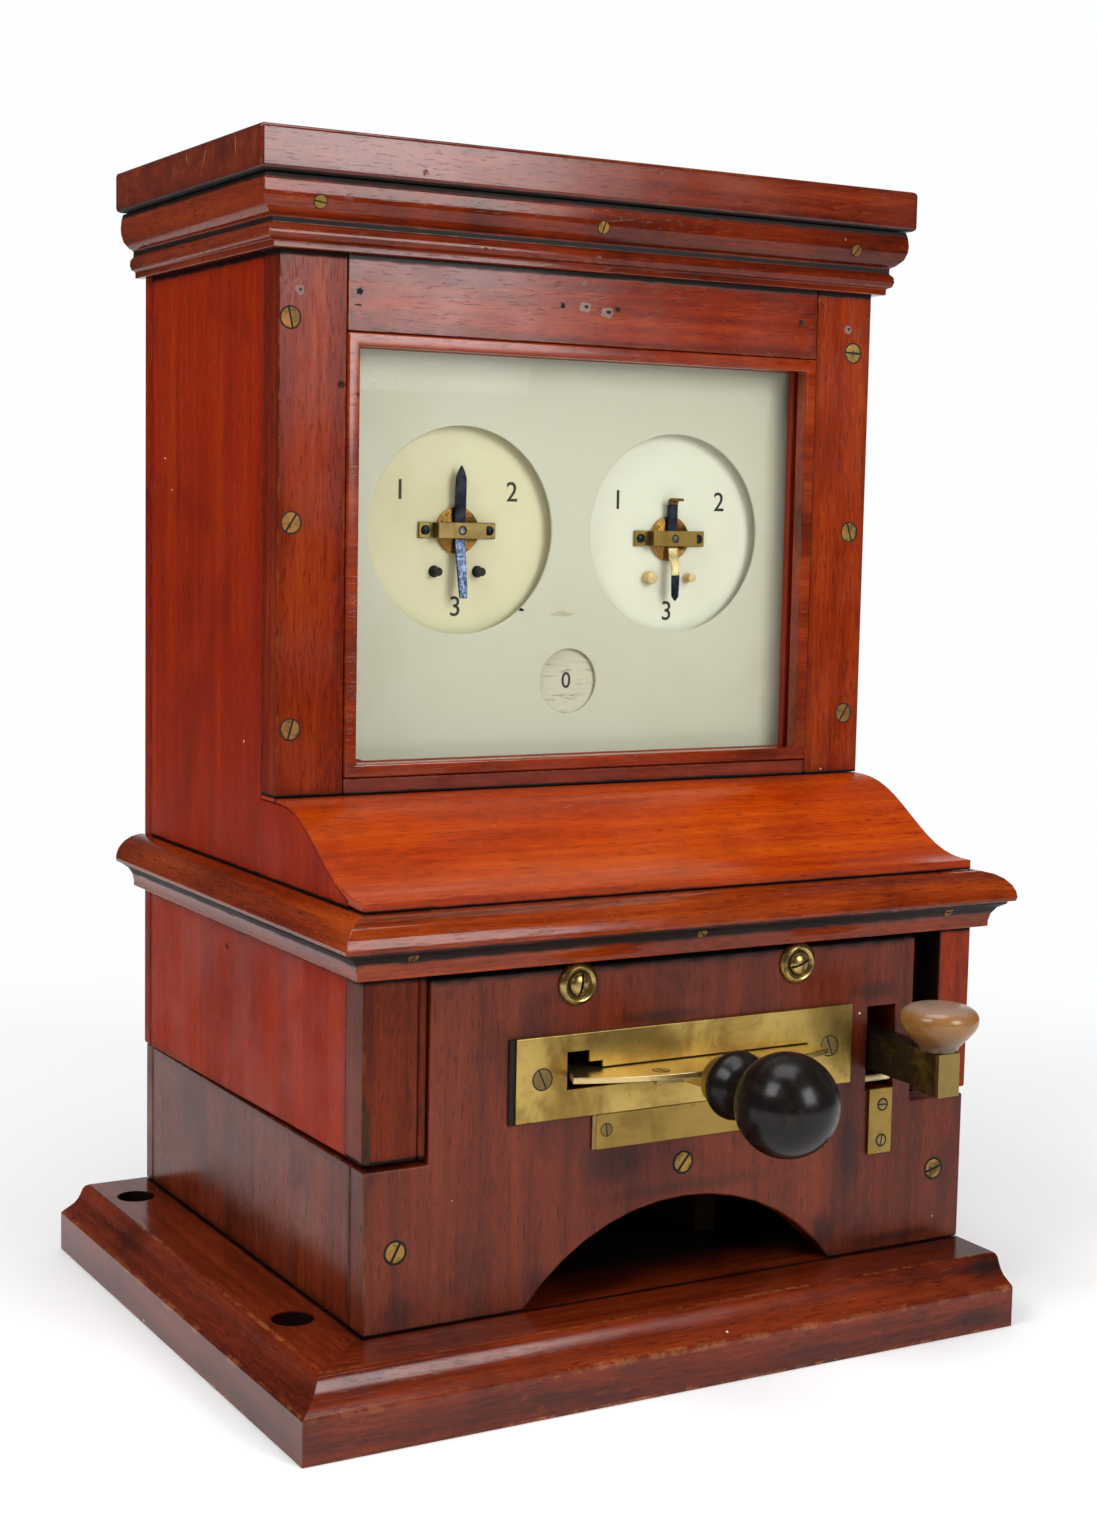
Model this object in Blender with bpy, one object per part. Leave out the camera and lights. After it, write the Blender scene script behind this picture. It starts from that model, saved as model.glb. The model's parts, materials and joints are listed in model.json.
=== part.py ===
# Railway block instrument: a wooden case in two halves. The base carries the commutator handle,
# the tapper key and the needle movements, and the hood with its window lifts off over them.
# Metres, +Z up, front towards -Y. The origin is on the underside, under the middle of the case.

import math

import bmesh
import bpy
from mathutils import Matrix, Vector

# Case
CASE_WIDTH = 0.266
CASE_DEPTH = 0.220
UPPER_DEPTH = 0.1415
BOARD = 0.011
FRAME_THICKNESS = 0.014
BACK_THICKNESS = 0.008
SEAT_GAP = 0.0003
OVERRUN = 0.004
EDGE_ROUND = 0.0009

# Heights of the case, from the underside of the base board unless the name says a rise or a drop
BASE_THICKNESS = 0.0262
SEAM_HEIGHT = 0.0853
MIDDLE_MOULDING_HEIGHT = 0.1535
MIDDLE_MOULDING_RISE = 0.022
LIP_RISE = 0.0040
OGEE_RISE = 0.0270
UPPER_HEIGHT = 0.2255
CORNICE_RISE = 0.0255
LID_THICKNESS = 0.0160
SIDE_FOOT_SLANT = 0.0023

# Base board and its fixing holes
BASE_LEFT_MARGIN = 0.0377
BASE_FRONT_MARGIN = 0.0345
BASE_MOULD_RUN = 0.0125
BASE_EDGE_HEIGHT = 0.0155
BASE_INSET = 0.001
FIXING_HOLE_INSET = 0.0135
FIXING_HOLE_REAR = 0.025
FIXING_HOLE_FRONT = 0.030
FIXING_BORE_RADIUS = 0.0026
FIXING_SINK_RADIUS = 0.0077
FIXING_SINK_DEPTH = 0.006

# Front panel of the base
PANEL_THICKNESS = 0.012
PANEL_LEFT_MARGIN = 0.0255
PANEL_RIGHT_MARGIN = 0.0277
PANEL_TOP_GAP = 0.0027
ARCH_HALF_WIDTH = 0.068
ARCH_RISE = 0.0335

# Lid, cornice and middle moulding
LID_OVERHANG = 0.0130
LID_ROUND = 0.0018
CORNICE_OVERHANG = 0.0103
MIDDLE_OVERHANG = 0.0124

# Front frame of the hood
STILE_WIDTH = 0.027
HEAD_RAIL_WIDTH = 0.0535
SILL_THICKNESS = 0.0060
BEAD_WIDTH = 0.005
BEAD_PROUD = 0.0008
BEAD_DEPTH = 0.0068
GLASS_THICKNESS = 0.002
RETAINER_DEPTH = 0.0038
OGEE_THICKNESS = 0.008
OGEE_LIP = 0.0015
LOWER_STILE_WIDTH = 0.0248
LOWER_RIGHT_STILE_WIDTH = 0.0157
LOWER_STILE_CLEARANCE = 0.0025
LOWER_RAIL_THICKNESS = 0.010

# Mask, dials and the board that carries them
MASK_SETBACK = 0.016
MASK_THICKNESS = 0.0012
MASK_SIDE_GAP = 0.0015
MASK_LAP = 0.005
DIAL_SPACING_SHARE = 0.4623
DIAL_HEIGHT_SHARE = 0.5625
MASK_HOLE_SHARE = 0.4112
RIGHT_NEEDLE_DROP = 0.002
WINDOW_HEIGHT_SHARE = 0.2034
WINDOW_RADIUS = 0.0130
DIAL_SETBACK = 0.021
DIAL_LAP = 0.0057
DIAL_THICKNESS = 0.0015
MOVEMENT_BOARD_THICKNESS = 0.010
MOVEMENT_BOARD_SIDE_GAP = 0.014
MOVEMENT_BOARD_LOW_LAP = 0.0078
MOVEMENT_BOARD_HIGH_LAP = 0.0135
POST_WIDTH = 0.014
POST_DEPTH = 0.020

# Needle movements
DISC_RADIUS = 0.0092
DISC_THICKNESS = 0.0012
BRIDGE_LENGTH = 0.0336
BRIDGE_HEIGHT = 0.0063
BRIDGE_STRAP = 0.001
BRIDGE_INNER = 0.0190
BRIDGE_RISE = 0.0045
NEEDLE_WIDTH = 0.0046
NEEDLE_THICKNESS = 0.001
NEEDLE_UP = 0.025
NEEDLE_DOWN = 0.027
NEEDLE_TIP = 0.005
SHORT_NEEDLE_UP = 0.016
SHORT_NEEDLE_DOWN = 0.0255
SHORT_NEEDLE_HOOK = 0.0045
ARBOR_RADIUS = 0.0012
ARBOR_CLEARANCE = 0.0004
STOP_PIN_RADIUS = 0.0015
STOP_PIN_OFFSET = 0.0095
STOP_PIN_DROP = 0.0160
STOP_PIN_LENGTH = 0.0042
COIL_RADIUS = 0.022
COIL_CHEEK_RADIUS = 0.0245
COIL_BORE_RADIUS = 0.0155
COIL_CHEEK_THICKNESS = 0.002
COIL_DEPTH = 0.024
MAGNET_LENGTH = 0.027
MAGNET_WIDTH = 0.006
MAGNET_THICKNESS = 0.012
COCK_WIDTH = 0.008
COCK_THICKNESS = 0.002

# Lock flag and its electromagnet
FLAG_LAP = 0.0015
FLAG_ARM_SHARE = 0.184
FLAG_ARM_WIDTH = 0.005
FLAG_THICKNESS = 0.0008
ARMATURE_LENGTH = 0.022
ARMATURE_WIDTH = 0.006
ARMATURE_THICKNESS = 0.006
LOCK_COIL_RADIUS = 0.009
LOCK_COIL_LENGTH = 0.036
LOCK_CORE_RADIUS = 0.004
LOCK_CORE_REACH = 0.004
LOCK_COIL_X = 0.030
LOCK_COIL_DROP = 0.021
LOCK_YOKE_THICKNESS = 0.003

# Slot plate, blank plate and quadrant
PLATE_WIDTH_SHARE = 0.5564
PLATE_LOW = 0.0962
PLATE_HIGH = 0.1272
PLATE_THICKNESS = 0.002
SLOT_WIDTH_SHARE = 0.3985
SLOT_LOW = 0.1069
SLOT_HIGH = 0.1138
NOTCH_HIGH_WIDTH = 0.0090
NOTCH_HIGH = 0.1205
NOTCH_LOW_WIDTH = 0.0145
NOTCH_LOW = 0.1162
BLANK_HALF_WIDTH = 0.0398
BLANK_LOW = 0.0828
BLANK_THICKNESS = 0.0010
PIVOT_Y = 0.019
QUADRANT_WIDTH = 0.0325
QUADRANT_LOW = 0.1112
PANEL_SLOT_MARGIN = 0.0015

# Commutator arm and handle
ARM_THICKNESS = 0.0037
ARM_LOW = 0.1072
ARM_HALF_WIDTH = 0.0075
ARM_PROUD = 0.0225
SECTOR_WIDTH = 0.053
TONGUE_LENGTH = 0.0105
SECTOR_HALF_ANGLE = 8.2
HUB_RADIUS = 0.011
HUB_LOW = 0.1040
HUB_HEIGHT = 0.0080
PIVOT_RADIUS = 0.0040
PIVOT_CLEARANCE = 0.0004
COLLAR_RADIUS = 0.0097
COLLAR_LENGTH = 0.0066
HANDLE_AXIS_HEIGHT = 0.1097
HANDLE_LENGTH = 0.0523
HANDLE_FLARE_RADIUS = 0.0127
HANDLE_WAIST_RADIUS = 0.0088
HANDLE_BALL_RADIUS = 0.0187
HANDLE_SWING = 12.5

# Commutator bed and contacts
BED_HALF_WIDTH = 0.048
BED_REAR = 0.048
BED_SETBACK = 0.050
BED_TOP = 0.0960
BED_THICKNESS = 0.010
POST_FLANGE_RADIUS = 0.0090
POST_FLANGE_THICKNESS = 0.0025
PIVOT_NUT_RADIUS = 0.0070
PIVOT_NUT_THICKNESS = 0.0035
CONTACT_RADIUS_SHARE = 0.3762
CONTACT_WIDTH = 0.008
CONTACT_LENGTH = 0.012
CONTACT_HEIGHT = 0.0070

# Tapper key
KEY_SIDE_MARGIN = 0.0437
KEY_WIDTH = 0.010
KEY_LOW = 0.0998
KEY_HIGH = 0.1145
KEY_PIVOT_SETBACK = 0.072
KEY_PIVOT_Z = 0.106
KEY_TAIL = 0.044
KEY_PROUD = 0.0425
KEY_BLOCK_LENGTH = 0.017
KEY_BLOCK_LOW = 0.0980
KEY_PIN_RADIUS = 0.0022
KEY_KNOB_RADIUS = 0.0150
KEY_KNOB_HEIGHT = 0.0175
KEY_KNOB_SETBACK = 0.0070
KEY_OPENING_LEFT_GAP = 0.0013
KEY_OPENING_RIGHT_GAP = 0.0022
KEY_OPENING_LOW = 0.0915
KEY_OPENING_HIGH = 0.1248
KEY_STOP_RADIUS = 0.0013
KEY_STOP_HEIGHT = 0.0955
KEY_PLATE_WIDTH = 0.0111
KEY_PLATE_LOW = 0.0660
KEY_PLATE_HIGH = 0.0920
KEY_PLATE_THICKNESS = 0.0012
KEY_BRACKET_LENGTH = 0.016
KEY_EAR = 0.0035
KEY_SPRING_RADIUS = 0.0035
KEY_SPRING_WIRE = 0.0006
KEY_SPRING_TURNS = 7
KEY_SPRING_AHEAD = 0.037
KEY_SEAT_HEIGHT = 0.074
KEY_BASE_THICKNESS = 0.010
KEY_SEAT_LENGTH = 0.014
KEY_STOP_BLOCK_LENGTH = 0.010

# Outline shares: (share of the overhang, share of the rise)
CORNICE_SHARES = (
    (0.39, 0.00), (0.39, 0.10), (0.56, 0.13), (0.62, 0.20), (0.60, 0.28), (0.47, 0.34),
    (0.47, 0.43), (0.66, 0.47), (0.88, 0.56), (0.98, 0.68), (1.00, 0.78), (0.97, 0.90), (0.90, 1.00),
)
MIDDLE_SHARES = (
    (0.36, 0.00), (0.36, 0.10), (0.42, 0.24), (0.56, 0.36), (0.78, 0.44), (0.78, 0.48), (0.97, 0.49),
    (1.00, 0.56), (0.97, 0.66), (0.88, 0.77), (0.70, 0.88), (0.45, 0.96), (0.15, 1.00),
)
# Base moulding: (share of the run outwards, share of the rise above the plain edge)
BASE_MOULD_SHARES = (
    (0.00, 1.00), (0.14, 0.97), (0.24, 0.88), (0.30, 0.72), (0.40, 0.50), (0.55, 0.32),
    (0.76, 0.18), (0.92, 0.08), (1.00, 0.00),
)
# Ebony handle: (share of the length, share of the flare or waist radius)
HANDLE_NECK_SHARES = ((0.00, 0.88), (0.03, 0.98), (0.07, 1.00), (0.12, 0.94), (0.17, 0.82))
# Horn knob: (share of the radius, share of the height)
KNOB_SHARES = (
    (0.49, 0.00), (0.54, 0.10), (0.72, 0.27), (0.92, 0.46), (1.00, 0.64), (0.97, 0.80),
    (0.80, 0.92), (0.50, 0.985), (0.00, 1.00),
)

# Counts
ROUND_STEPS = 32
SMALL_ROUND_STEPS = 16
COIL_STEPS = 24
ARC_STEPS = 14
CURVE_STEPS = 14
SPRING_POINTS = 10
SMOOTH_ANGLE = math.radians(32)
EASE_ANGLE = math.radians(60)

# Worked-out places
HALF_WIDTH = CASE_WIDTH / 2
REAR = CASE_DEPTH / 2
LOWER_FRONT = -CASE_DEPTH / 2
UPPER_FRONT = REAR - UPPER_DEPTH
FRAME_REAR = UPPER_FRONT + FRAME_THICKNESS
BOX_HALF = HALF_WIDTH - BASE_INSET
OGEE_LOW_HEIGHT = MIDDLE_MOULDING_HEIGHT + MIDDLE_MOULDING_RISE + LIP_RISE
OGEE_HIGH_HEIGHT = OGEE_LOW_HEIGHT + OGEE_RISE
PANEL_TOP = MIDDLE_MOULDING_HEIGHT - PANEL_TOP_GAP
LID_HEIGHT = OGEE_HIGH_HEIGHT + UPPER_HEIGHT
LID_TOP = LID_HEIGHT + LID_THICKNESS
CORNICE_HEIGHT = LID_HEIGHT - SEAT_GAP - CORNICE_RISE
HEAD_RAIL_LOW = LID_HEIGHT - HEAD_RAIL_WIDTH
OPENING_HALF = HALF_WIDTH - STILE_WIDTH
OPENING_LOW = OGEE_HIGH_HEIGHT + SEAT_GAP + SILL_THICKNESS
OPENING_HEIGHT = HEAD_RAIL_LOW - OPENING_LOW
MASK_FRONT = UPPER_FRONT + MASK_SETBACK
MASK_HALF_WIDTH = OPENING_HALF - MASK_SIDE_GAP
MASK_LOW = OPENING_LOW - SEAT_GAP
MASK_HIGH = HEAD_RAIL_LOW + MASK_LAP
DIAL_SPACING = 2 * OPENING_HALF * DIAL_SPACING_SHARE
DIAL_HEIGHT = OPENING_LOW + OPENING_HEIGHT * DIAL_HEIGHT_SHARE
MASK_HOLE_RADIUS = DIAL_SPACING * MASK_HOLE_SHARE
DIAL_RADIUS = MASK_HOLE_RADIUS + DIAL_LAP
WINDOW_HEIGHT = OPENING_LOW + OPENING_HEIGHT * WINDOW_HEIGHT_SHARE
FLAG_RADIUS = WINDOW_RADIUS + FLAG_LAP
FLAG_PIVOT_HEIGHT = WINDOW_HEIGHT + OPENING_HEIGHT * FLAG_ARM_SHARE
LOCK_COIL_Z = FLAG_PIVOT_HEIGHT - LOCK_COIL_DROP
DIAL_FRONT = UPPER_FRONT + DIAL_SETBACK
BOARD_FRONT = DIAL_FRONT + DIAL_THICKNESS + SEAT_GAP
BOARD_REAR = BOARD_FRONT + MOVEMENT_BOARD_THICKNESS
MOVEMENT_BOARD_HALF_WIDTH = HALF_WIDTH - MOVEMENT_BOARD_SIDE_GAP
MOVEMENT_BOARD_LOW = OPENING_LOW - MOVEMENT_BOARD_LOW_LAP
MOVEMENT_BOARD_HIGH = HEAD_RAIL_LOW + MOVEMENT_BOARD_HIGH_LAP
PANEL_REAR = LOWER_FRONT + PANEL_THICKNESS
PANEL_LEFT = -HALF_WIDTH + PANEL_LEFT_MARGIN
PANEL_RIGHT = HALF_WIDTH - PANEL_RIGHT_MARGIN
PLATE_HALF_WIDTH = HALF_WIDTH * PLATE_WIDTH_SHARE
PLATE_FRONT = LOWER_FRONT - SEAT_GAP - PLATE_THICKNESS
SLOT_HALF_WIDTH = HALF_WIDTH * SLOT_WIDTH_SHARE
ARM_REACH = PIVOT_Y - LOWER_FRONT + ARM_PROUD
QUADRANT_HALF_ANGLE = math.atan((SLOT_HALF_WIDTH - 2 * SEAT_GAP) / (PIVOT_Y - PLATE_FRONT))
SECTOR_OUTER = ARM_REACH - TONGUE_LENGTH
CONTACT_RADIUS = ARM_REACH * CONTACT_RADIUS_SHARE
HANDLE_START = PIVOT_Y - ARM_REACH - COLLAR_LENGTH - 2 * SEAT_GAP
BED_FRONT = LOWER_FRONT + BED_SETBACK
KEY_X = HALF_WIDTH - KEY_SIDE_MARGIN
KEY_PIVOT_Y = LOWER_FRONT + KEY_PIVOT_SETBACK
KEY_REAR = KEY_PIVOT_Y + KEY_TAIL
KEY_BLOCK_FRONT = LOWER_FRONT - KEY_PROUD
KEY_BLOCK_REAR = KEY_BLOCK_FRONT + KEY_BLOCK_LENGTH
KEY_SPRING_Y = KEY_PIVOT_Y - KEY_SPRING_AHEAD
KEY_LEFT = KEY_X - KEY_WIDTH / 2
KEY_RIGHT = KEY_X + KEY_WIDTH / 2
KEY_OPENING_LEFT = KEY_LEFT - KEY_OPENING_LEFT_GAP
KEY_OPENING_RIGHT = KEY_RIGHT + KEY_OPENING_RIGHT_GAP


def clear_scene():
    for old in list(bpy.data.objects):
        bpy.data.objects.remove(old, do_unlink=True)


def material(name, colour, roughness, metallic=0.0):
    made = bpy.data.materials.new(name)
    made.use_nodes = True
    shader = made.node_tree.nodes["Principled BSDF"]
    shader.inputs["Base Color"].default_value = (*colour, 1.0)
    shader.inputs["Roughness"].default_value = roughness
    shader.inputs["Metallic"].default_value = metallic
    made.diffuse_color = (*colour, 1.0)
    return made


def place(name, bm, finish, parent=None):
    """Closes a mesh into an object whose origin is the middle of its box, under its parent."""
    bmesh.ops.recalc_face_normals(bm, faces=bm.faces)
    lows = Vector([min(v.co[i] for v in bm.verts) for i in range(3)])
    highs = Vector([max(v.co[i] for v in bm.verts) for i in range(3)])
    middle = (lows + highs) / 2
    bmesh.ops.translate(bm, verts=bm.verts, vec=-middle)
    mesh = bpy.data.meshes.new(name)
    bm.to_mesh(mesh)
    bm.free()
    mesh.shade_smooth()
    mesh.set_sharp_from_angle(angle=SMOOTH_ANGLE)
    made = bpy.data.objects.new(name, mesh)
    made.location = middle
    bpy.context.scene.collection.objects.link(made)
    if finish:
        mesh.materials.append(finish)
    if parent:
        made.parent = parent
        made.matrix_parent_inverse = Matrix.Translation(-parent.location)
    return made


def joint_empty(name, location):
    empty = bpy.data.objects.new(name, None)
    empty.location = location
    bpy.context.scene.collection.objects.link(empty)
    return empty


def point_on(axis, along, u, v):
    """A point at a height along an axis, with the other two coordinates in X, Y, Z order."""
    if axis == "X":
        return (along, u, v)
    if axis == "Y":
        return (u, along, v)
    return (u, v, along)


def prism_mesh(outline, axis, start, end):
    bm = bmesh.new()
    rings = [[bm.verts.new(point_on(axis, along, u, v)) for u, v in outline] for along in (start, end)]
    bm.faces.new(rings[0])
    bm.faces.new(rings[1])
    count = len(outline)
    for i in range(count):
        j = (i + 1) % count
        bm.faces.new((rings[0][i], rings[0][j], rings[1][j], rings[1][i]))
    return bm


def prism(name, outline, axis, start, end, finish, parent=None):
    return place(name, prism_mesh(outline, axis, start, end), finish, parent)


def board(name, x, y, z, finish, parent=None, rounded=0.0):
    """A straight board between two corners, its edges rounded over if asked."""
    outline = [(x[0], y[0]), (x[1], y[0]), (x[1], y[1]), (x[0], y[1])]
    made = prism(name, outline, "Z", z[0], z[1], finish, parent)
    if rounded:
        ease_edges(made, rounded)
    return made


def ease_edges(made, width):
    bevel = made.modifiers.new("eased_edges", "BEVEL")
    bevel.width = width
    bevel.segments = 2
    bevel.limit_method = "ANGLE"
    bevel.angle_limit = EASE_ANGLE


def turned_mesh(profile, centre, axis, steps, closed=False):
    """Turns (radius, place along the axis) points. Radius zero closes a pole."""
    bm = bmesh.new()
    rings = []
    for radius, along in profile:
        if radius == 0:
            rings.append([bm.verts.new(Vector(centre) + Vector(point_on(axis, along, 0, 0)))])
            continue
        ring = []
        for i in range(steps):
            turn = 2 * math.pi * i / steps
            offset = point_on(axis, along, radius * math.cos(turn), radius * math.sin(turn))
            ring.append(bm.verts.new(Vector(centre) + Vector(offset)))
        rings.append(ring)
    pairs = list(zip(rings, rings[1:]))
    if closed:
        pairs.append((rings[-1], rings[0]))
    for low, high in pairs:
        for i in range(steps):
            j = (i + 1) % steps
            if len(low) == 1:
                bm.faces.new((low[0], high[j], high[i]))
            elif len(high) == 1:
                bm.faces.new((low[i], low[j], high[0]))
            else:
                bm.faces.new((low[i], low[j], high[j], high[i]))
    if not closed:
        for ring in (rings[0], rings[-1]):
            if len(ring) > 1:
                bm.faces.new(ring)
    return bm


def turned(name, profile, centre, axis, finish, parent=None, steps=ROUND_STEPS, closed=False):
    return place(name, turned_mesh(profile, centre, axis, steps, closed), finish, parent)


def rod(name, radius, centre, axis, length, finish, parent=None, steps=SMALL_ROUND_STEPS):
    return turned(name, [(radius, 0), (radius, length)], centre, axis, finish, parent, steps)


def as_cutter(made):
    made.hide_render = True
    made.display_type = "WIRE"
    return made


def join(made, other, operation):
    step = made.modifiers.new(operation.lower(), "BOOLEAN")
    step.operation = operation
    step.solver = "EXACT"
    step.object = as_cutter(other)


def cut(made, cutter):
    join(made, cutter, "DIFFERENCE")


def fuse(made, other):
    join(made, other, "UNION")


def arc(radius, start, end, steps, centre=(0, 0)):
    """Points on a circle from one angle to the other, in radians from the first axis."""
    points = []
    for i in range(steps + 1):
        turn = start + (end - start) * i / steps
        points.append((centre[0] + radius * math.cos(turn), centre[1] + radius * math.sin(turn)))
    return points


def polar(radius, turn, centre):
    return (centre[0] + radius * math.cos(turn), centre[1] + radius * math.sin(turn))


def moulding(name, shares, overhang, low, rise, half_width, front, finish, depth):
    """A moulding mitred round the left side, the front and the right side of the case."""
    profile = [(share_out * overhang, low + share_up * rise) for share_out, share_up in shares]
    profile = [(-depth, low)] + profile + [(-depth, low + rise)]
    bm = bmesh.new()
    rings = []
    for side, ahead in ((-1, 0), (-1, 1), (1, 1), (1, 0)):
        ring = []
        for out, height in profile:
            y = front - out if ahead else REAR
            ring.append(bm.verts.new((side * (half_width + out), y, height)))
        rings.append(ring)
    bm.faces.new(rings[0])
    bm.faces.new(rings[-1])
    count = len(profile)
    for first, second in zip(rings, rings[1:]):
        for i in range(count):
            j = (i + 1) % count
            bm.faces.new((first[i], first[j], second[j], second[i]))
    return place(name, bm, finish)


def ring_frame(name, x_half, low, high, width, y, finish):
    """A rectangular ring, as four mitred strips glued into one."""
    outer = [(-x_half, low), (x_half, low), (x_half, high), (-x_half, high)]
    inner_half = x_half - width
    inner = [(-inner_half, low + width), (inner_half, low + width)]
    inner += [(inner_half, high - width), (-inner_half, high - width)]
    bm = bmesh.new()
    loops = []
    for outline, depth in ((outer, y[0]), (inner, y[0]), (inner, y[1]), (outer, y[1])):
        loops.append([bm.verts.new((u, depth, v)) for u, v in outline])
    for first, second in zip(loops, loops[1:] + loops[:1]):
        for i in range(4):
            j = (i + 1) % 4
            bm.faces.new((first[i], first[j], second[j], second[i]))
    return place(name, bm, finish)


def ogee_height(share):
    """The S-curve of the sloping front, from the window down to the lip."""
    fall = share ** 3 * (6 * share ** 2 - 15 * share + 10)
    return OGEE_HIGH_HEIGHT - (OGEE_HIGH_HEIGHT - OGEE_LOW_HEIGHT) * fall


def ogee_curve(drop):
    """Points (y, z) along the S-curve, lowered by a drop, from the top to the lip."""
    points = []
    for i in range(CURVE_STEPS + 1):
        share = i / CURVE_STEPS
        y = UPPER_FRONT + share * (LOWER_FRONT + OGEE_LIP - UPPER_FRONT)
        points.append((y, ogee_height(share) - drop))
    return points


def materials():
    return {
        "side_wood": material("side_wood", (0.42, 0.10, 0.03), 0.35),
        "front_wood": material("front_wood", (0.30, 0.06, 0.025), 0.32),
        "panel_wood": material("panel_wood", (0.22, 0.05, 0.025), 0.40),
        "inner_wood": material("inner_wood", (0.26, 0.12, 0.05), 0.65),
        "brass": material("brass", (0.62, 0.45, 0.16), 0.34, 1.0),
        "ebony": material("ebony", (0.02, 0.014, 0.012), 0.22),
        "horn": material("horn", (0.36, 0.17, 0.05), 0.30),
        "mask": material("mask", (0.62, 0.62, 0.52), 0.55),
        "dial": material("dial", (0.78, 0.73, 0.55), 0.45),
        "steel": material("steel", (0.12, 0.13, 0.16), 0.35, 1.0),
        "glass": material("glass", (0.90, 0.93, 0.92), 0.04),
        "silk": material("silk", (0.08, 0.20, 0.10), 0.80),
        "ivory": material("ivory", (0.70, 0.58, 0.36), 0.40),
    }


def base_case(finish):
    """The base board with its moulded edge, the low box on it and its front panel."""
    left = -BOX_HALF - BASE_LEFT_MARGIN
    front = LOWER_FRONT - BASE_FRONT_MARGIN
    rise = BASE_THICKNESS - BASE_EDGE_HEIGHT
    profile = [(0, 0)] + [
        (BASE_MOULD_RUN * (1 - out), BASE_EDGE_HEIGHT + rise * up)
        for out, up in reversed(BASE_MOULD_SHARES)
    ]
    bm = bmesh.new()
    rings = []
    for inset, height in profile:
        corners = [(left + inset, front + inset), (BOX_HALF, front + inset)]
        corners += [(BOX_HALF, REAR), (left + inset, REAR)]
        rings.append([bm.verts.new((x, y, height)) for x, y in corners])
    bm.faces.new(rings[0])
    bm.faces.new(rings[-1])
    for low, high in zip(rings, rings[1:]):
        for i in range(4):
            j = (i + 1) % 4
            bm.faces.new((low[i], low[j], high[j], high[i]))
    base = place("base_board", bm, finish["front_wood"])
    hole_x = -BOX_HALF - FIXING_HOLE_INSET
    for spot, y in (("rear", REAR - FIXING_HOLE_REAR), ("front", LOWER_FRONT + FIXING_HOLE_FRONT)):
        sink_floor = BASE_THICKNESS - FIXING_SINK_DEPTH
        profile = [(FIXING_BORE_RADIUS, -OVERRUN), (FIXING_BORE_RADIUS, sink_floor)]
        profile += [(FIXING_SINK_RADIUS, sink_floor), (FIXING_SINK_RADIUS, BASE_THICKNESS + OVERRUN)]
        cut(base, turned("fixing_cutter_" + spot, profile, (hole_x, y, 0), "Z", None))
    floor = BASE_THICKNESS + SEAT_GAP
    side_rear = REAR - BACK_THICKNESS - SEAT_GAP
    side_front = PANEL_REAR + SEAT_GAP
    for name, side in (("base_side_left", -1), ("base_side_right", 1)):
        edges = sorted((side * BOX_HALF, side * (BOX_HALF - BOARD)))
        board(name, edges, (side_front, side_rear), (floor, SEAM_HEIGHT), finish["panel_wood"],
              rounded=EDGE_ROUND)
    board("base_back", (-BOX_HALF, BOX_HALF), (REAR - BACK_THICKNESS, REAR), (floor, SEAM_HEIGHT),
          finish["panel_wood"], rounded=EDGE_ROUND)


def front_panel(finish):
    floor = BASE_THICKNESS + SEAT_GAP
    arch_radius = (ARCH_HALF_WIDTH ** 2 + ARCH_RISE ** 2) / (2 * ARCH_RISE)
    arch_centre = (0, floor + ARCH_RISE - arch_radius)
    half_angle = math.asin(ARCH_HALF_WIDTH / arch_radius)
    upright = math.pi / 2
    outline = [(-BOX_HALF, floor)]
    outline += arc(arch_radius, upright + half_angle, upright - half_angle, ARC_STEPS, arch_centre)
    outline += [(BOX_HALF, floor), (BOX_HALF, SEAM_HEIGHT), (PANEL_RIGHT, SEAM_HEIGHT)]
    outline += [(PANEL_RIGHT, PANEL_TOP), (PANEL_LEFT, PANEL_TOP)]
    outline += [(PANEL_LEFT, SEAM_HEIGHT), (-BOX_HALF, SEAM_HEIGHT)]
    panel = prism("front_panel", outline, "Y", LOWER_FRONT, PANEL_REAR, finish["panel_wood"])
    ease_edges(panel, EDGE_ROUND)
    depth = (LOWER_FRONT - OVERRUN, PANEL_REAR + OVERRUN)
    half = SLOT_HALF_WIDTH + PANEL_SLOT_MARGIN
    cut(panel, board("slot_cutter", (-half, half), depth,
                     (SLOT_LOW - PANEL_SLOT_MARGIN, NOTCH_HIGH + PANEL_SLOT_MARGIN), None))
    cut(panel, board("key_cutter", (KEY_OPENING_LEFT, KEY_OPENING_RIGHT), depth,
                     (KEY_OPENING_LOW, KEY_OPENING_HIGH), None))


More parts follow.
